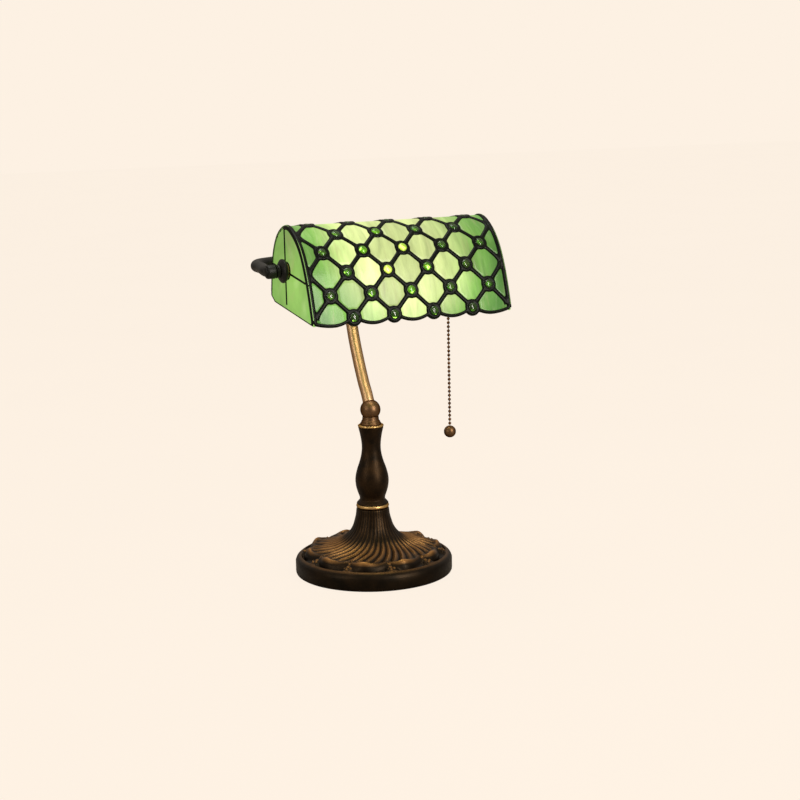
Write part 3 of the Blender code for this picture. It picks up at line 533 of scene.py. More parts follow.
class BaseTop:
    """Heights of the cast base's upper face: swirled flutes that end in lobes with rolled edges."""

    def __init__(self):
        low, high = box_mm("base_casting")
        self.rim = high.x
        self.bottom = low.z
        self.top = high.z
        self.neck = 17.2
        self.cone = (
            (16.2, self.top), (17.2, 67.4), (18.0, 61.0), (19.8, 54.0), (21.9, 48.0),
            (26.5, 41.0), (34.0, 34.8), (44.0, 30.0), (54.0, 26.6), (62.0, 24.4),
            (70.0, 22.0), (75.0, 20.6), (79.0, 18.6), (81.6, 16.4), (self.rim, 13.6),
        )

    def rings(self):
        """(radius, plain height) from the cone's top to the rim's edge, finely spaced."""
        found = smooth_curve([(r, z, 0) for r, z in self.cone], 9)
        return [(p.x, p.y) for p in found]

    def shape(self, radius, angle, plain):
        """(height, how bright the metal is: worn, or painted highlight and shade) at a place."""
        out = max(radius - self.neck, 0.0) / (self.rim - self.neck)
        along = angle + SWIRL * out**1.15
        lobe = (angle - LOBE_PHASE) * LOBES / (2 * math.pi)
        part = lobe - math.floor(lobe)
        swell = math.sin(math.pi * part) ** 0.6
        edge = 61.0 + 7.5 * math.sin(math.pi * part**0.75) ** 0.8
        ridge = abs(math.cos(along * FLUTES / 2)) ** 0.75
        second = abs(math.cos(along * FLUTES)) ** 0.8
        deep = 0.5 + 1.7 * smoothstep(20, 44, radius)
        deep *= 1 - smoothstep(edge - 5, edge + 1, radius)
        height = plain + deep * (ridge - 0.62) + 0.3 * deep * (second - 0.6)
        lifted = smoothstep(40, 58, radius) * (1 - smoothstep(edge - 2, edge + 4, radius))
        height += 1.7 * lifted * swell
        fat = 0.12 + 0.88 * bell(part, 0.36, 0.22)
        roll = (1.1 + 3.6 * fat) * bell(radius, edge + 0.6, 1.9 + 1.7 * fat)
        height += roll * smoothstep(0.0, 0.12, swell - 0.12)
        floor_depth = (2.2 + 4.2 * fat) * smoothstep(0.08, 0.3, part)
        floor_depth *= 1 - smoothstep(0.82, 0.97, part)
        wall = edge + 3.2 + 1.2 * fat
        pocket = smoothstep(wall, wall + 1.6, radius) * (1 - smoothstep(75.4 - 0.4 * fat, 77.2, radius))
        height -= floor_depth * pocket
        beads = self.beads(radius, part)
        height += beads
        # Ridges of the flutes go golden: partly worn metal, partly painted highlight.
        rub_and_sheen = 0.78 * ridge**2 * smoothstep(24, 42, radius) * (1 - 0.6 * smoothstep(50, edge, radius))
        rub_and_sheen *= 1 - smoothstep(edge - 1, edge + 2, radius)
        rub_and_sheen = max(rub_and_sheen, 0.16 * ridge**2 * (1 - smoothstep(50, 58, radius)))
        # Crests of the rolled lobe edges, a line on the ledge near the rim and the petals: painted
        # highlights.
        rub_and_sheen = max(rub_and_sheen, bell(radius, edge + 0.2, 2.2) * (0.15 + 0.95 * fat))
        rub_and_sheen = max(rub_and_sheen, 0.3 * bell(radius, 77.6, 2.6), 0.5 * min(beads, 1.0))
        # Nothing golden in the pockets: painted shade in the hollows.
        rub_and_sheen *= 1 - 0.98 * pocket * min(floor_depth, 1.0)
        return height, rub_and_sheen

    def beads(self, radius, part):
        """A little cluster of petals where two lobes meet."""
        near = min(part, 1 - part) * 2 * math.pi / LOBES * radius
        side = near if part < 0.5 else -near
        total = 0.0
        for x, y, size in PETALS:
            away = math.hypot(side - x, radius - y)
            total = max(total, 1.5 * max(0.0, 1 - (away / size) ** 2))
        return total


def make_base(material):
    top = BaseTop()
    count = 720
    verts, wear_and_sheen, rings = [], [], []

    def add_ring(radius, heights, rubs_and_sheen):
        rings.append(list(range(len(verts), len(verts) + count)))
        for i in range(count):
            angle = 2 * math.pi * i / count
            verts.append((radius * math.cos(angle), radius * math.sin(angle), heights[i]))
            wear_and_sheen.append(rubs_and_sheen[i])

    flat = [0.1] * count
    add_ring(ROD_HOLE, [HOLLOW[-1][1]] * count, flat)
    add_ring(ROD_HOLE, [top.top] * count, flat)
    for radius, plain in top.rings():
        shaped = [top.shape(radius, 2 * math.pi * i / count, plain) for i in range(count)]
        rise = smoothstep(16.2, 18.0, radius)
        rise *= 1 - smoothstep(top.rim - 3.2, top.rim - 0.4, radius)
        add_ring(radius, [plain + (h - plain) * rise for h, _ in shaped], [r for _, r in shaped])
    side = ((top.rim, 9.0, 0.1), (top.rim, 3.4, 0.1), *RIM_FOOT, (81.4, top.bottom, 0.0))
    for radius, height, rub_and_sheen in side:
        add_ring(radius, [height] * count, [rub_and_sheen] * count)
    under = ((FELT_EDGE[0][0], top.bottom), *FELT_EDGE, *HOLLOW)
    for radius, height in under:
        add_ring(radius, [height] * count, [0.0] * count)
    faces = strips(zip(rings, rings[1:] + rings[:1]), count)
    obj = from_lists("base_cast_swirl", verts, faces, 65)
    wear_and_sheen_layer = obj.data.attributes.new("wear_and_sheen", "FLOAT", "POINT")
    wear_and_sheen_layer.data.foreach_set("value", wear_and_sheen)
    return piece(obj, "stand", "dark_bronze", material, "base_casting")


# ---------------------------------------------------------------- neck and yoke

NECK_POINTS = (
    (0, 3.2, 179.6), (0, 8.6, 189.8), (0, 16.0, 201.0), (0, 28.0, 224.2),
    (0, 38.4, 248.6), (0, 46.6, 276.0), (0, 53.0, 302.0),
)
NECK_STRAIGHT = 7.7
NECK_LEAN = (0, 4.1, 181.3)  # a point that the ball's flat faces
NECK_RADIUS = 6.1
ARM_RADIUS = 5.75
ARM_X = 124.5
ARM_INTO_EYE = 2.6
ARM_STRAIGHT = 9.6
ARM_POINTS = (
    (42.0, 54.6), (68.0, 47.0), (92.0, 36.5), (108.0, 27.0), (116.5, 12.0),
    (118.5, -6.0), (122.0, -22.0),
)
TUBE_WALL = 1.4


def make_neck(material):
    top = box_mm("neck_tube")[1].z
    hub_low, hub_high = box_mm("yoke_hub")
    hub_y = (hub_low.y + hub_high.y) / 2
    points = (*NECK_POINTS, (0, hub_y, top - NECK_STRAIGHT), (0, hub_y, top))
    path = smooth_curve(points, 8)
    obj = sweep_tube("neck_tube_bent", path, NECK_RADIUS, NECK_RADIUS - TUBE_WALL, (1, 0, 0), 48)
    return piece(obj, "head", "antique_brass", material, "neck_tube")


def make_arms(material):
    hub_low, hub_high = box_mm("yoke_hub")
    hub_y = (hub_low.y + hub_high.y) / 2
    for side, word in ((-1, "left"), (1, "right")):
        end_y = box_mm(word + "_eye")[1].y - ARM_INTO_EYE
        points = (
            (hub_high.x + 0.3, hub_y),
            *ARM_POINTS,
            (ARM_X, end_y + ARM_STRAIGHT),
            (ARM_X, end_y),
        )
        path = smooth_curve([(side * x, y, AXIS.z) for x, y in points], 8)
        obj = sweep_tube(word + "_arm_bent", path, ARM_RADIUS, ARM_RADIUS - TUBE_WALL, (0, 0, 1), 32)
        piece(obj, "head", "black_bronze", material, word + "_arm")


def make_turned_pieces(mats):
    neck_direction = Vector((0, NECK_LEAN[1], NECK_LEAN[2] - BALL.z)).normalized()
    lean = Vector((0, 0, 1)).rotation_difference(neck_direction).to_matrix()
    for node, material, slot in (
        ("post", "bronze", "dark_bronze"),
        ("swivel_collar", "collar", "dark_bronze"),
        ("base_ring", "ring", "bright_brass"),
        ("post_lip_ring", "ring", "bright_brass"),
    ):
        turned(node, "stand", slot, mats[material])
    turned("swivel_ball", "head", "dark_bronze", mats["collar"], place=BALL, turn=lean)
    hub_low, hub_high = box_mm("yoke_hub")
    hub = (hub_low + hub_high) / 2
    turned("yoke_hub", "head", "black_bronze", mats["iron"], "X", hub, 0.8)
    turned("hub_finial", "head", "black_bronze", mats["iron"], "Z", (hub.x, hub.y, 0))
    for word in ("left", "right"):
        for part in ("eye", "spacer", "escutcheon"):
            turned(f"{word}_{part}", "head", "black_bronze", mats["iron"], "X", AXIS, 0.7, 64)
        turned(word + "_eyelet", "shade", "socket_brass", mats["brass"], "X", AXIS, 0.3, 64)
    turned("left_pivot_screw", "head", "black_bronze", mats["iron"], "X", AXIS, 0.5, 48)
    turned("right_end_cap", "head", "black_bronze", mats["iron"], "X", AXIS, 0.6, 48)
    for node in ("socket_cap", "socket_shell", "centre_contact", "screw_shell"):
        turned(node, "head", "socket_brass", mats["brass"], "X", AXIS, 0.4, 64)
    turned("socket_liner", "head", "grey_fibre", mats["fibre"], "X", AXIS, 0.2, 64)
    bell_place = (CHAIN_TOP.x, CHAIN_TOP.y, 0)
    turned("switch_bell", "head", "socket_brass", mats["brass"], "Z", bell_place, 0.5, 48)
    turned("chain_coupling", "pull_switch", "socket_brass", mats["brass"], "Z", bell_place, 0.4, 32)


def make_bulb(mats):
    low, high = box_mm("bulb_base")
    threaded = []
    crest = 13.2
    turns = 6
    start, end = low.x + 2.0, low.x + 16.5
    steps = turns * 6
    for k in range(steps + 1):
        x = start + (end - start) * k / steps
        threaded.append((crest - 0.55 + 0.55 * math.cos(2 * math.pi * k / 6), x))
    profile = [(0, low.x), (crest - 1.2, low.x), (crest - 0.6, low.x + 0.8), *threaded]
    profile += [(10.4, end + 1.6), (9.2, end + 2.6), (4.4, high.x - 3.0), (3.6, high.x - 0.4), (0, high.x)]
    obj = lathe("bulb_screw_base", profile, False, 64, "X", AXIS)
    piece(obj, "head", "socket_brass", mats["brass"], "bulb_base")
    turned("bulb_glass", "head", "bulb_glass", mats["bulb"], "X", AXIS, 0.4, 64)


def make_chain(mats):
    low, high = box_mm("pull_chain")
    centre = (low + high) / 2
    length = high.z - low.z
    beads = round(length / 4.25)
    pitch = length / beads
    radius = (high.x - low.x) / 2
    profile = [(0, high.z)]
    arc = 7
    for k in range(beads):
        middle = high.z - (k + 0.5) * pitch
        for i in range(arc):
            angle = math.radians(18 + 144 * i / (arc - 1))
            profile.append((radius * math.sin(angle), middle + radius * math.cos(angle)))
        if k < beads - 1:
            profile.append((0.4, middle - pitch / 2 + 0.2))
            profile.append((0.4, middle - pitch / 2 - 0.2))
    profile.append((0, low.z))
    chain = lathe("pull_chain_beads", profile, False, 16, "Z", (centre.x, centre.y, 0))
    piece(chain, "chain", "antique_brass", mats["chain"], "pull_chain")
    low, high = box_mm("chain_ball")
    centre = (low + high) / 2
    size = (high.z - low.z) / 2
    ball = [(0, size), (1.3, size - 0.1), (1.5, size - 0.35)]
    steps = 24
    for k in range(2, steps):
        angle = math.pi * k / steps
        grip = 0.12 * bell(angle, math.pi / 2, 0.05)
        ball.append(((size - grip) * math.sin(angle), size * math.cos(angle)))
    ball.append((0, -size))
    obj = lathe("chain_ball_turned", ball, False, 48, "Z", centre)
    piece(obj, "chain", "dark_bronze", mats["collar"], "chain_ball")


# ---------------------------------------------------------------- shade

SHADE_TILT = math.radians(5.7)
HALF = 107.5
GLASS_HALF = 104.6
COLUMN = 21.5
ROWS = 10
GLASS = 2.5
SEAT = 7.6  # how far a cell stops short of a jewel's centre
EDGE_GAP = 1.4
CELL_SHARE = 0.95
CELL_SHIFT = 4.0  # moves an edge cell's middle in from the edge
JEWEL = 4.9
CREST_ROW = 5  # counted from the front row, 0
CREST_SUNK = 1.1  # keeps the crest jewels inside the lamp's height
SECTION = (
    (65.0, -35.8), (56.6, -14.7), (46.9, 5.2), (34.3, 23.6), (17.3, 36.9),
    (-3.3, 43.2), (-22.6, 33.8), (-34.4, 15.6), (-38.4, -6.0), (-39.8, -28.0),
)
PANEL_FRONT = (66.0, -41.9)
PANEL_BACK = ((-40.2, -33.2), (-31.3, -37.8))
UPRIGHT_LINE = (0.994, 0.108, -3.45)
LEVEL_LINE = (0.05, 0.9987, -1.6)
CORNER_DROP = 4.0
RING_RADIUS = 6.2
EYELET_NOTCH = 8.3
EYELET_BEAD = 8.4
LINE_HIGH = 2.3
PANE_X = (104.9, 107.4)
END_BEAD_X = 106.15
SCALLOP_FRONT = 8.0
SCALLOP_BACK = 6.0


class Arch:
    """Places on the shade: x along it, run round its section from the front jewels, out from its face."""

    def __init__(self):
        fine = smooth_curve([(forward, up, 0) for forward, up in SECTION], 16)
        self.points = [Vector((p.x, p.y)) for p in fine]
        self.runs = [0.0]
        for a, b in zip(self.points, self.points[1:]):
            self.runs.append(self.runs[-1] + (b - a).length)
        self.length = self.runs[-1]
        self.pitch = self.length / (ROWS - 1)
        self.turn = Matrix.Rotation(SHADE_TILT, 3, "X")

    def section(self, run, out=0.0):
        last = len(self.points) - 2
        k = 0
        while k < last and self.runs[k + 1] < run:
            k += 1
        ahead = self.points[k + 1] - self.points[k]
        point = self.points[k] + ahead * ((run - self.runs[k]) / (self.runs[k + 1] - self.runs[k]))
        before = self.points[max(k - 6, 0)]
        after = self.points[min(k + 7, len(self.points) - 1)]
        if run < 0 or run > self.length:
            before, after = self.points[k], self.points[k + 1]
        along = (after - before).normalized()
        return point + out * Vector((along.y, -along.x))

    def place(self, x, run, out=0.0):
        forward, up = self.section(run, out)
        return AXIS + self.turn @ Vector((x, -forward, up))

    def flat(self, x, forward, up):
        return AXIS + self.turn @ Vector((x, -forward, up))


def front_scallop(x):
    drop = CORNER_DROP if abs(x) > 4 * COLUMN else 0.0
    return -drop - (SCALLOP_FRONT - drop) * abs(math.cos(math.pi * x / (2 * COLUMN))) ** 0.8


def back_scallop(x):
    return SCALLOP_BACK * abs(math.sin(math.pi * x / (2 * COLUMN))) ** 0.8


def jewel_seats(edges=False):
    """(column, row) of each jewel. With edges, also the places at the shade's ends where lines meet."""
    most = (ROWS - 1) // 2 + (1 if edges else 0)
    return [(c, r) for r in range(ROWS) for c in range(-most, most + 1) if (r + c) % 2]


def cell_reach(arch, column, row, centre, angle, wall):
    """How far a glass cell reaches from its centre at an angle: to the lines, the jewels or the edges."""
    cx, cs = column * COLUMN, row * arch.pitch
    dx, ds = math.cos(angle), math.sin(angle)

    def inside(reach):
        x, run = centre[0] + reach * dx, centre[1] + reach * ds
        front, back = front_scallop(x) + EDGE_GAP, arch.length + back_scallop(x) - EDGE_GAP
        if abs(x) > wall or run < front or run > back:
            return False
        if abs(x - cx) / COLUMN + abs(run - cs) / arch.pitch > CELL_SHARE:
            return False
        if abs(x - cx) > COLUMN - SEAT and abs(cx + math.copysign(COLUMN, x - cx)) < wall:
            return False
        beyond = row + (1 if run > cs else -1)
        return abs(run - cs) < arch.pitch - SEAT or not 0 <= beyond < ROWS

    low, high = 0.0, 30.0
    for _ in range(18):
        middle = (low + high) / 2
        if inside(middle):
            low = middle
        else:
            high = middle
    return low


def tone(obj, value):
    layer = obj.data.attributes.new("cell_tone", "FLOAT", "POINT")
    layer.data.foreach_set("value", [value] * len(obj.data.vertices))


def cell_mesh(arch, name, column, row, wall):
    """One piece of glass with ground edges, star-shaped about its middle."""
    cx, cs = column * COLUMN, row * arch.pitch
    if abs(cx) > wall:
        cx -= math.copysign(2 * CELL_SHIFT, cx)
    if row == 0:
        cs += CELL_SHIFT
    if row == ROWS - 1:
        cs -= CELL_SHIFT
    directions = 64
    angles = [2 * math.pi * k / directions for k in range(directions)]
    reaches = [cell_reach(arch, column, row, (cx, cs), angle, wall) for angle in angles]
    verts, rings = [], []

    def ring(scale, inset, out):
        rings.append(list(range(len(verts), len(verts) + directions)))
        for angle, reach in zip(angles, reaches):
            size = max(reach * scale - inset, 0.5)
            verts.append(arch.place(cx + size * math.cos(angle), cs + size * math.sin(angle), out))

    shells = ((1, 0), (1, 0.4), (0.75, 0), (0.5, 0), (0.25, 0))
    for (scale, inset), out in zip(shells, (-0.35, 0.0, 0.05, 0.08, 0.1)):
        ring(scale, inset, out)
    top_middle = len(verts)
    verts.append(arch.place(cx, cs, 0.1))
    upper = list(rings)
    rings.clear()
    for (scale, inset), lift in zip(shells, (0.35, 0, 0, 0, 0)):
        ring(scale, inset, -GLASS + lift)
    low_middle = len(verts)
    verts.append(arch.place(cx, cs, -GLASS))
    faces = []
    for skin, middle in ((upper, top_middle), (rings, low_middle)):
        faces += strips(zip(skin, skin[1:]), directions)
        for k in range(directions):
            faces.append((skin[-1][k], skin[-1][(k + 1) % directions], middle))
    faces += strips([(upper[0], rings[0])], directions)
    obj = from_lists(name, verts, faces, 60)
    tone(obj, noise.random())
    return obj


def make_cells(arch, mats):
    wall = GLASS_HALF - 0.4
    cells = []
    for row in range(ROWS):
        for column in range(-5, 6):
            if (row + column) % 2 == 0:
                name = f"glass_row{row + 1}_cell{column + 6}"
                cells.append(cell_mesh(arch, name, column, row, wall))
    for cell in cells:
        piece(cell, "shade", "green_glass", mats["glass"])
    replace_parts(cells[0], "shade_glass")


def make_jewels(arch, mats):
    """Round pressed jewels: a low crown with a flat table outside and a shallow dome inside."""
    outline = [
        (0.0, 2.6),
        (2.2, 2.45),
        (3.7, 1.8),
        (4.6, 0.8),
        (JEWEL, -0.3),
        (JEWEL, -1.6),
        (4.2, -2.8),
        (2.6, -3.6),
        (0.0, -4.0),
    ]
    profile = soften(outline, False, 0.3, 3)
    for column, row in jewel_seats():
        sunk = CREST_SUNK if row == CREST_ROW else 0.0
        centre = arch.place(column * COLUMN, row * arch.pitch, -sunk)
        outward = (arch.place(column * COLUMN, row * arch.pitch, 1) - centre).normalized()
        turn = Vector((0, 0, 1)).rotation_difference(outward).to_matrix()
        name = f"jewel_row{row + 1}_{column + 6}"
        obj = lathe(name, profile, False, 32, place=centre, turn=turn, smooth=35)
        tone(obj, noise.random())
        piece(obj, "shade", "green_glass", mats["jewel"])


class Solder:
    """Gathers rounded beads of solder into one mesh."""

    def __init__(self):
        self.verts = []
        self.faces = []

    def bead(self, places, loop=False, count=10):
        """Places are (middle, side, up, half width, half height) along the bead."""
        rings = []
        for middle, side, up, wide, high in places:
            rings.append(list(range(len(self.verts), len(self.verts) + count)))
            for k in range(count):
                angle = 2 * math.pi * k / count
                self.verts.append(middle + side * wide * math.cos(angle) + up * high * math.sin(angle))
        pairs = list(zip(rings, rings[1:]))
        if loop:
            pairs.append((rings[-1], rings[0]))
        self.faces += strips(pairs, count)
        if not loop:
            self.faces.append(tuple(rings[0]))
            self.faces.append(tuple(reversed(rings[-1])))

    def object(self, name):
        return from_lists(name, self.verts, self.faces, 60)


def beside(points, k, loop):
    """The points before and after one of a line's points."""
    last = len(points) - 1
    before = points[k - 1] if loop or k else points[0]
    after = points[(k + 1) % len(points)] if loop or k < last else points[last]
    return before, after


def circle(x, y, radius, count):
    angles = [2 * math.pi * k / count for k in range(count)]
    return [(x + radius * math.cos(angle), y + radius * math.sin(angle)) for angle in angles]


def remesh_solder(obj, fine):
    """Flows the beads into one skin, on a grid of the given size in mm."""
    remesh = obj.modifiers.new("flow", "REMESH")
    remesh.mode = "VOXEL"
    remesh.voxel_size = fine * MM
    remesh.use_smooth_shade = True


def arch_bead(arch, solder, spots, wide, high, loop=False):
    """A bead along (x, run) spots, centred in the glass. Wide is a number, or a function of the share."""
    centre = -GLASS / 2
    places = []
    last = len(spots) - 1
    for k, (x, run) in enumerate(spots):
        before, after = beside(spots, k, loop)
        a, b = arch.place(*before, centre), arch.place(*after, centre)
        middle = arch.place(x, run, centre)
        up = (arch.place(x, run, centre + 1) - middle).normalized()
        side = (b - a).normalized().cross(up)
        width = wide(k / max(last, 1)) if callable(wide) else wide
        places.append((middle, side, up, width, high))
    solder.bead(places, loop)


def make_came(arch, mats):
    """Solder lines between the cells, rings round the jewels and a heavier bead round every edge."""
    solder = Solder()
    seats = set(jewel_seats(edges=True))
    edge = HALF - 1.7
    rise = GLASS / 2 + 1.25

    def place_of(column, row):
        x = column * COLUMN
        return (math.copysign(edge, x), row * arch.pitch) if abs(x) > edge else (x, row * arch.pitch)

    def swell(share):
        return 2.9 + 2.6 * abs(2 * share - 1) ** 4

    for column, row in seats:
        for step in (-1, 1):
            if (column + step, row + 1) not in seats:
                continue
            a, b = place_of(column, row), place_of(column + step, row + 1)
            spots = [(a[0] + (b[0] - a[0]) * k / 12, a[1] + (b[1] - a[1]) * k / 12) for k in range(1, 12)]
            arch_bead(arch, solder, spots, swell, rise)
    for column, row in jewel_seats():
        spots = circle(column * COLUMN, row * arch.pitch, RING_RADIUS, 24)
        arch_bead(arch, solder, spots, 2.6, rise + 0.2, loop=True)
    for x in (-edge, edge):
        low = front_scallop(x) + EDGE_GAP
        high = arch.length + back_scallop(x) - 1.5
        steps = 90
        spots = [(x, low + (high - low) * k / steps) for k in range(steps + 1)]
        crest = int(steps * 5.2 / (ROWS - 1))
        arch_bead(arch, solder, spots[: crest + 1], 3.1, rise + 0.3)
        arch_bead(arch, solder, spots[crest:], 1.9, GLASS / 2 + 0.35)
    steps = 150
    front = []
    back = []
    for k in range(steps + 1):
        x = -edge + 2 * edge * k / steps
        front.append((x, front_scallop(x) + 1.5))
        back.append((x, arch.length + back_scallop(x) - 1.5))
    arch_bead(arch, solder, front, 1.9, rise)
    arch_bead(arch, solder, back, 1.7, rise)
    obj = solder.object("shade_solder_lines")
    remesh_solder(obj, 0.7)
    soft = obj.modifiers.new("soft", "SMOOTH")
    soft.factor = 0.5
    soft.iterations = 2
    apply_modifiers(obj)
    piece(obj, "shade", "black_solder", mats["solder"], "shade_came")


def apply_modifiers(obj):
    graph = bpy.context.evaluated_depsgraph_get()
    mesh = bpy.data.meshes.new_from_object(obj.evaluated_get(graph))
    obj.modifiers.clear()
    obj.data = mesh


def clip(outline, normal, offset):
    kept = []
    count = len(outline)
    for k in range(count):
        a, b = Vector(outline[k]), Vector(outline[(k + 1) % count])
        da, db = a.dot(normal) - offset, b.dot(normal) - offset
        if da >= 0:
            kept.append(tuple(a))
        if (da >= 0) != (db >= 0):
            kept.append(tuple(a + (b - a) * (da / (da - db))))
    return kept


def panel_outline(arch, inset, front_inset):
    """The end panel as (forward, up) points, from the front bottom corner over the arch to the back."""
    steps = 8 * (ROWS - 1)
    outline = [(PANEL_FRONT[0] - front_inset, PANEL_FRONT[1] + inset)]
    for k in range(steps + 1):
        share = min(k / (steps / 2), 1.0)
        depth = front_inset + (inset - front_inset) * share**3
        point = arch.section(arch.length * k / steps, GLASS / 2 - depth)
        outline.append((point.x, point.y))
    for forward, up in PANEL_BACK:
        outline.append((forward + inset, up + 0.8 * inset))
    return outline


def bitten(outline, radius):
    """The outline with a round bite taken out of it about the pivot."""
    count = len(outline)
    ring = []
    for k in range(count):
        a, b = Vector(outline[k]), Vector(outline[(k + 1) % count])
        steps = max(1, round((b - a).length / 0.5))
        ring += [(a + (b - a) * i / steps, i == 0) for i in range(steps)]
    far = max(range(len(ring)), key=lambda k: ring[k][0].length)
    ring = ring[far:] + ring[:far]
    inside = [k for k, (point, _) in enumerate(ring) if point.length < radius]
    first, last = ring[inside[0] - 1][0], ring[(inside[-1] + 1) % len(ring)][0]
    middle = sum((point for point, _ in ring), Vector((0, 0))) / len(ring)
    begin, half, end = (math.atan2(v.y, v.x) for v in (first, middle, last))
    sweep = (end - begin) % (2 * math.pi)
    if (half - begin) % (2 * math.pi) > sweep:
        sweep -= 2 * math.pi
    arc = [begin + sweep * k / 16 for k in range(17)]
    kept = [tuple(point) for point, corner in ring[: inside[0] - 1] if corner]
    kept += [(radius * math.cos(angle), radius * math.sin(angle)) for angle in arc]
    kept += [tuple(point) for point, corner in ring[inside[-1] + 2 :] if corner]
    return kept


def pane_corners(arch, forward, upward, gap):
    """The quarter of an end panel on one side of its upright and level lines, notched round the eyelet."""
    quarter = panel_outline(arch, 0.0, 0.0)
    for (run, rise, offset), way in ((UPRIGHT_LINE, forward), (LEVEL_LINE, upward)):
        quarter = clip(quarter, Vector((run, rise)) * way, gap + offset * way)
    return bitten(quarter, EYELET_NOTCH)


def make_end_panes(arch, mats):
    for side, word in ((-1, "left"), (1, "right")):
        near, far = (side * x for x in PANE_X)
        for forward, first_word in ((1, "front"), (-1, "back")):
            for upward, second_word in ((1, "upper"), (-1, "lower")):
                corners = pane_corners(arch, forward, upward, 0.5)
                verts = [arch.flat(x, *corner) for x in (near, far) for corner in corners]
                count = len(corners)
                faces = [tuple(range(count)), tuple(range(2 * count - 1, count - 1, -1))]
                faces += [(k, (k + 1) % count, count + (k + 1) % count, count + k) for k in range(count)]
                name = f"{word}_pane_{first_word}_{second_word}"
                obj = from_lists(name + "_glass", verts, faces, 0)
                bevel = obj.modifiers.new("ground_edge", "BEVEL")
                bevel.width = 0.25 * MM
                bevel.segments = 1
                apply_modifiers(obj)
                tone(obj, noise.random() * 0.5)
                piece(obj, "shade", "green_glass", mats["end_glass"], name)


def make_end_came(arch, mats):
    for side, word in ((-1, "left"), (1, "right")):
        solder = Solder()
        middle_x = side * END_BEAD_X

        def flat_bead(points, wide, high, loop=False):
            places = []
            last = len(points) - 1
            out = Vector((1, 0, 0))
            for k, point in enumerate(points):
                before, after = beside(points, k, loop)
                along = (arch.flat(0, *after) - arch.flat(0, *before)).normalized()
                width = wide(k / last) if callable(wide) else wide
                places.append((arch.flat(middle_x, *point), along.cross(out), out, width, high))
            solder.bead(places, loop)

        def level(forward):
            run, rise, offset = LEVEL_LINE
            return forward, (offset - run * forward) / rise

        def upright(up):
            run, rise, offset = UPRIGHT_LINE
            return (offset - rise * up) / run, up

        def line(path, start, end):
            flat_bead([path(start + (end - start) * k / 24) for k in range(25)], 1.45, LINE_HIGH)

        rim = panel_outline(arch, 0.95, 2.5)
        crest = max(range(len(rim)), key=lambda k: rim[k][1])
        flat_bead(rim[: crest + 1], lambda share: 2.6 - 1.8 * share**3, 2.5)
        flat_bead(rim[crest:] + rim[:1], 0.8, 2.0)
        line(upright, -34.0, -8.0)
        line(upright, 8.0, 40.0)
        line(level, 8.0, 46.0)
        line(level, -8.0, -36.0)
        flat_bead(circle(0, 0, EYELET_BEAD, 32), 0.9, LINE_HIGH, loop=True)
        obj = solder.object(word + "_end_solder")
        remesh_solder(obj, 0.5)
        apply_modifiers(obj)
        piece(obj, "shade", "black_solder", mats["solder"], word + "_end_came")


# ---------------------------------------------------------------- studio

CREAM = (0.982, 0.879, 0.768)


def make_floor():
    nodes = Nodes("paper_floor")
    grain = nodes.ramp(nodes.noise(3, 2), (0.3, CREAM), (0.7, tuple(c * 0.995 for c in CREAM)))
    seen = nodes.add("ShaderNodeLightPath").outputs["Is Camera Ray"]
    nodes.set(Base_Color=nodes.mix(nodes.grey(seen, 0.36, 0.04), four((0, 0, 0)), grain))
    nodes.set(Emission_Color=grain, Emission_Strength=nodes.grey(seen, 0.0, 0.97))
    nodes.shader.inputs["Roughness"].default_value = 1.0
    nodes.shader.inputs["Specular IOR Level"].default_value = 0.0
    reach = 9000
    verts = [(-reach, -reach, 0), (reach, -reach, 0), (reach, reach, 0), (-reach, reach, 0)]
    floor = from_lists("paper_floor", verts, [(0, 1, 2, 3)], 0)
    floor.data.materials.append(nodes.material)
    floor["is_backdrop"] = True


def area_light(name, place, target, size, power, colour=(1, 1, 1)):
    light = bpy.data.lights.new(name, "AREA")
    light.shape = "RECTANGLE"
    light.size, light.size_y = size
    light.energy = power
    light.color = colour
    obj = bpy.data.objects.new(name, light)
    obj.location = place
    obj.rotation_euler = (Vector(target) - Vector(place)).to_track_quat("-Z", "Y").to_euler()
    obj.visible_camera = False
    bpy.context.scene.collection.objects.link(obj)


def make_lights():
    world = bpy.data.worlds.new("studio")
    bpy.context.scene.world = world
    nodes = Nodes("studio", world)
    split = nodes.add("ShaderNodeSeparateXYZ")
    nodes.join(nodes.add("ShaderNodeTexCoord").outputs["Generated"], split.inputs[0])
    dim, bright = (tuple(share * c for c in CREAM) for share in (0.16, 0.7))
    glow = nodes.ramp(split.outputs["Z"], (0.0, dim), (0.9, bright))
    seen = nodes.add("ShaderNodeLightPath").outputs["Is Camera Ray"]
    nodes.set(Color=nodes.mix(seen, glow, four(CREAM)))
    area_light("key_strip", (0.55, -1.7, 0.9), (0, 0, 0.2), (0.45, 1.3), 22, (1.0, 0.95, 0.88))
    area_light("left_strip", (-1.7, -0.5, 0.8), (0, 0, 0.2), (0.5, 1.1), 5, (1.0, 0.96, 0.9))
    area_light("top_softbox", (0.0, 0.1, 1.9), (0, 0, 0.1), (0.9, 0.9), 9)


def make_camera():
    data = bpy.data.cameras.new("camera")
    data.sensor_width = 36
    data.lens = 75.55
    camera = bpy.data.objects.new("camera", data)
    camera.location = Vector((-719.8, -1564.5, 508.5)) * MM
    ahead = Vector((0.4268, 0.8851, -0.1858))
    level = ahead.to_track_quat("-Z", "Y")
    camera.rotation_mode = "QUATERNION"
    camera.rotation_quaternion = level @ Quaternion((0, 0, 1), math.radians(-1.19))
    bpy.context.scene.collection.objects.link(camera)
    bpy.context.scene.camera = camera


# ---------------------------------------------------------------- the lamp

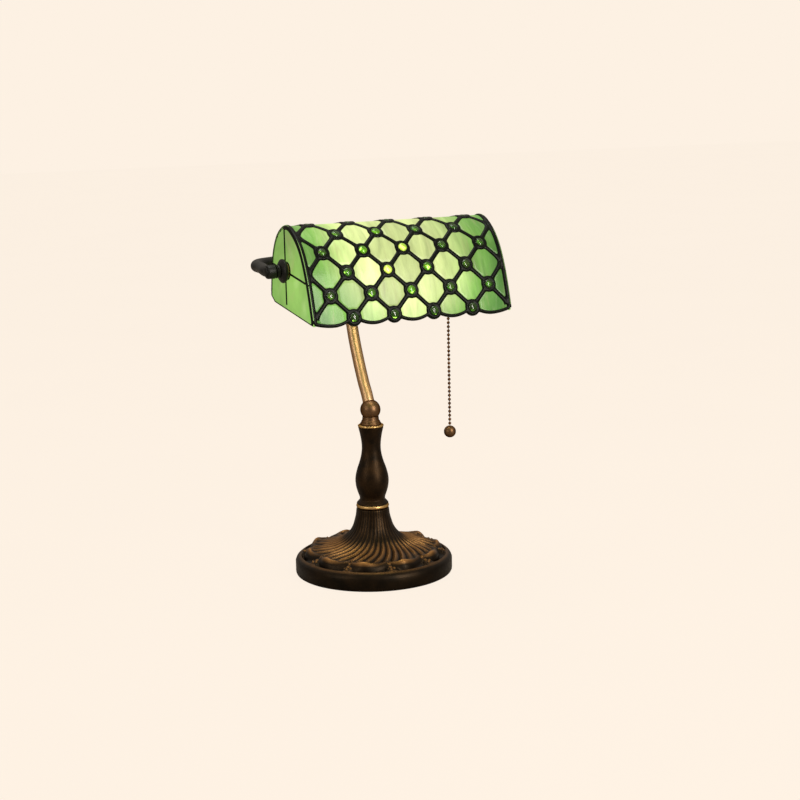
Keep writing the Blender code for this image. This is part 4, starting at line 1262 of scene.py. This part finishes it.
def make_materials():
    # far, middle and near colour the painted glow of the glass, from the shade's ends in to the bulb.
    far, middle, near = rgb(76, 132, 52), rgb(132, 186, 82), rgb(246, 255, 172)
    end_far, end_middle = rgb(128, 178, 84), rgb(164, 206, 106)
    iron = plain_material("black_bronze", (0.003, 0.004, 0.003), (0.01, 0.01, 0.007), 0.4, 0.1, 60, 0.03)
    ring_colours = rgb(206, 164, 102), rgb(232, 194, 132)
    collar_colours = rgb(112, 84, 58), rgb(130, 99, 70)
    neck_colours = rgb(208, 166, 122), rgb(218, 178, 134)
    # The last colour of each of these brasses tints its reflection dark edge on: painted shade at the rims.
    ring = brass_material("polished_brass", *ring_colours, 0.36, 0.42, 12, (0.3, 0.2, 0.1))
    collar = brass_material("brown_brass", *collar_colours, 0.38, 0.44, 12, (0.1, 0.07, 0.04))
    neck = brass_material("antique_brass", *neck_colours, 0.38, 0.42, 12, (0.16, 0.1, 0.06))
    return {
        "base": bronze_material("cast_bronze", rgb(27, 21, 13), rgb(46, 34, 21), rgb(182, 132, 76), "wear_and_sheen"),
        "bronze": bronze_material("turned_bronze", rgb(30, 23, 15), rgb(62, 44, 25)),
        "iron": iron,
        "ring": ring,
        "collar": collar,
        "brass": brass_material("socket_brass", rgb(170, 130, 70), rgb(215, 178, 112), 0.25, 0.4),
        "neck": neck,
        "chain": brass_material("chain_brass", rgb(84, 58, 40), rgb(120, 84, 56), 0.3, 0.45, 200),
        "steel": plain_material("zinc_steel", (0.3, 0.3, 0.29), (0.55, 0.54, 0.5), 0.35, 1.0),
        "phenolic": plain_material("black_phenolic", (0.008, 0.008, 0.008), (0.02, 0.02, 0.02), 0.45),
        "fibre": plain_material("grey_fibre", (0.16, 0.13, 0.1), (0.3, 0.26, 0.2), 0.85),
        "felt": felt_material(),
        "glass": glass_material("streaked_glass", far, middle, near, 1.0),
        "end_glass": glass_material("end_glass", end_far, end_middle, rgb(204, 232, 150), 0.92),
        "jewel": jewel_material(),
        "solder": solder_material(),
        "bulb": bulb_material(),
    }


def dress_cad_nodes(mats):
    """The CAD pieces that are shown as they are, mostly inside the base and the lampholder."""
    steel = ("base_weight", "base_washer", "base_nut", "threaded_rod", "right_nipple")
    dressed = {node: "steel" for node in (*steel, "left_pivot_nut", "right_pivot_nut")}
    dressed.update(felt_pad="felt", cord_bushing="phenolic", switch_body="phenolic")
    for node, material in dressed.items():
        mesh = NODES[node].data
        mesh.materials.clear()
        mesh.materials.append(mats[material])


def main():
    noise.seed_set(11)
    bpy.context.scene.view_settings.view_transform = "Standard"
    make_camera()
    mats = make_materials()
    make_base(mats["base"])
    make_neck(mats["neck"])
    make_arms(mats["iron"])
    make_turned_pieces(mats)
    make_bulb(mats)
    make_chain(mats)
    arch = Arch()
    make_cells(arch, mats)
    make_jewels(arch, mats)
    make_came(arch, mats)
    make_end_panes(arch, mats)
    make_end_came(arch, mats)
    dress_cad_nodes(mats)
    make_floor()
    make_lights()


main()
sizes = {"cad": CAD_BOX, "visual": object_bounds()}
plain = {key: [[float(c) for c in corner] for corner in box[:2]] for key, box in sizes.items()}
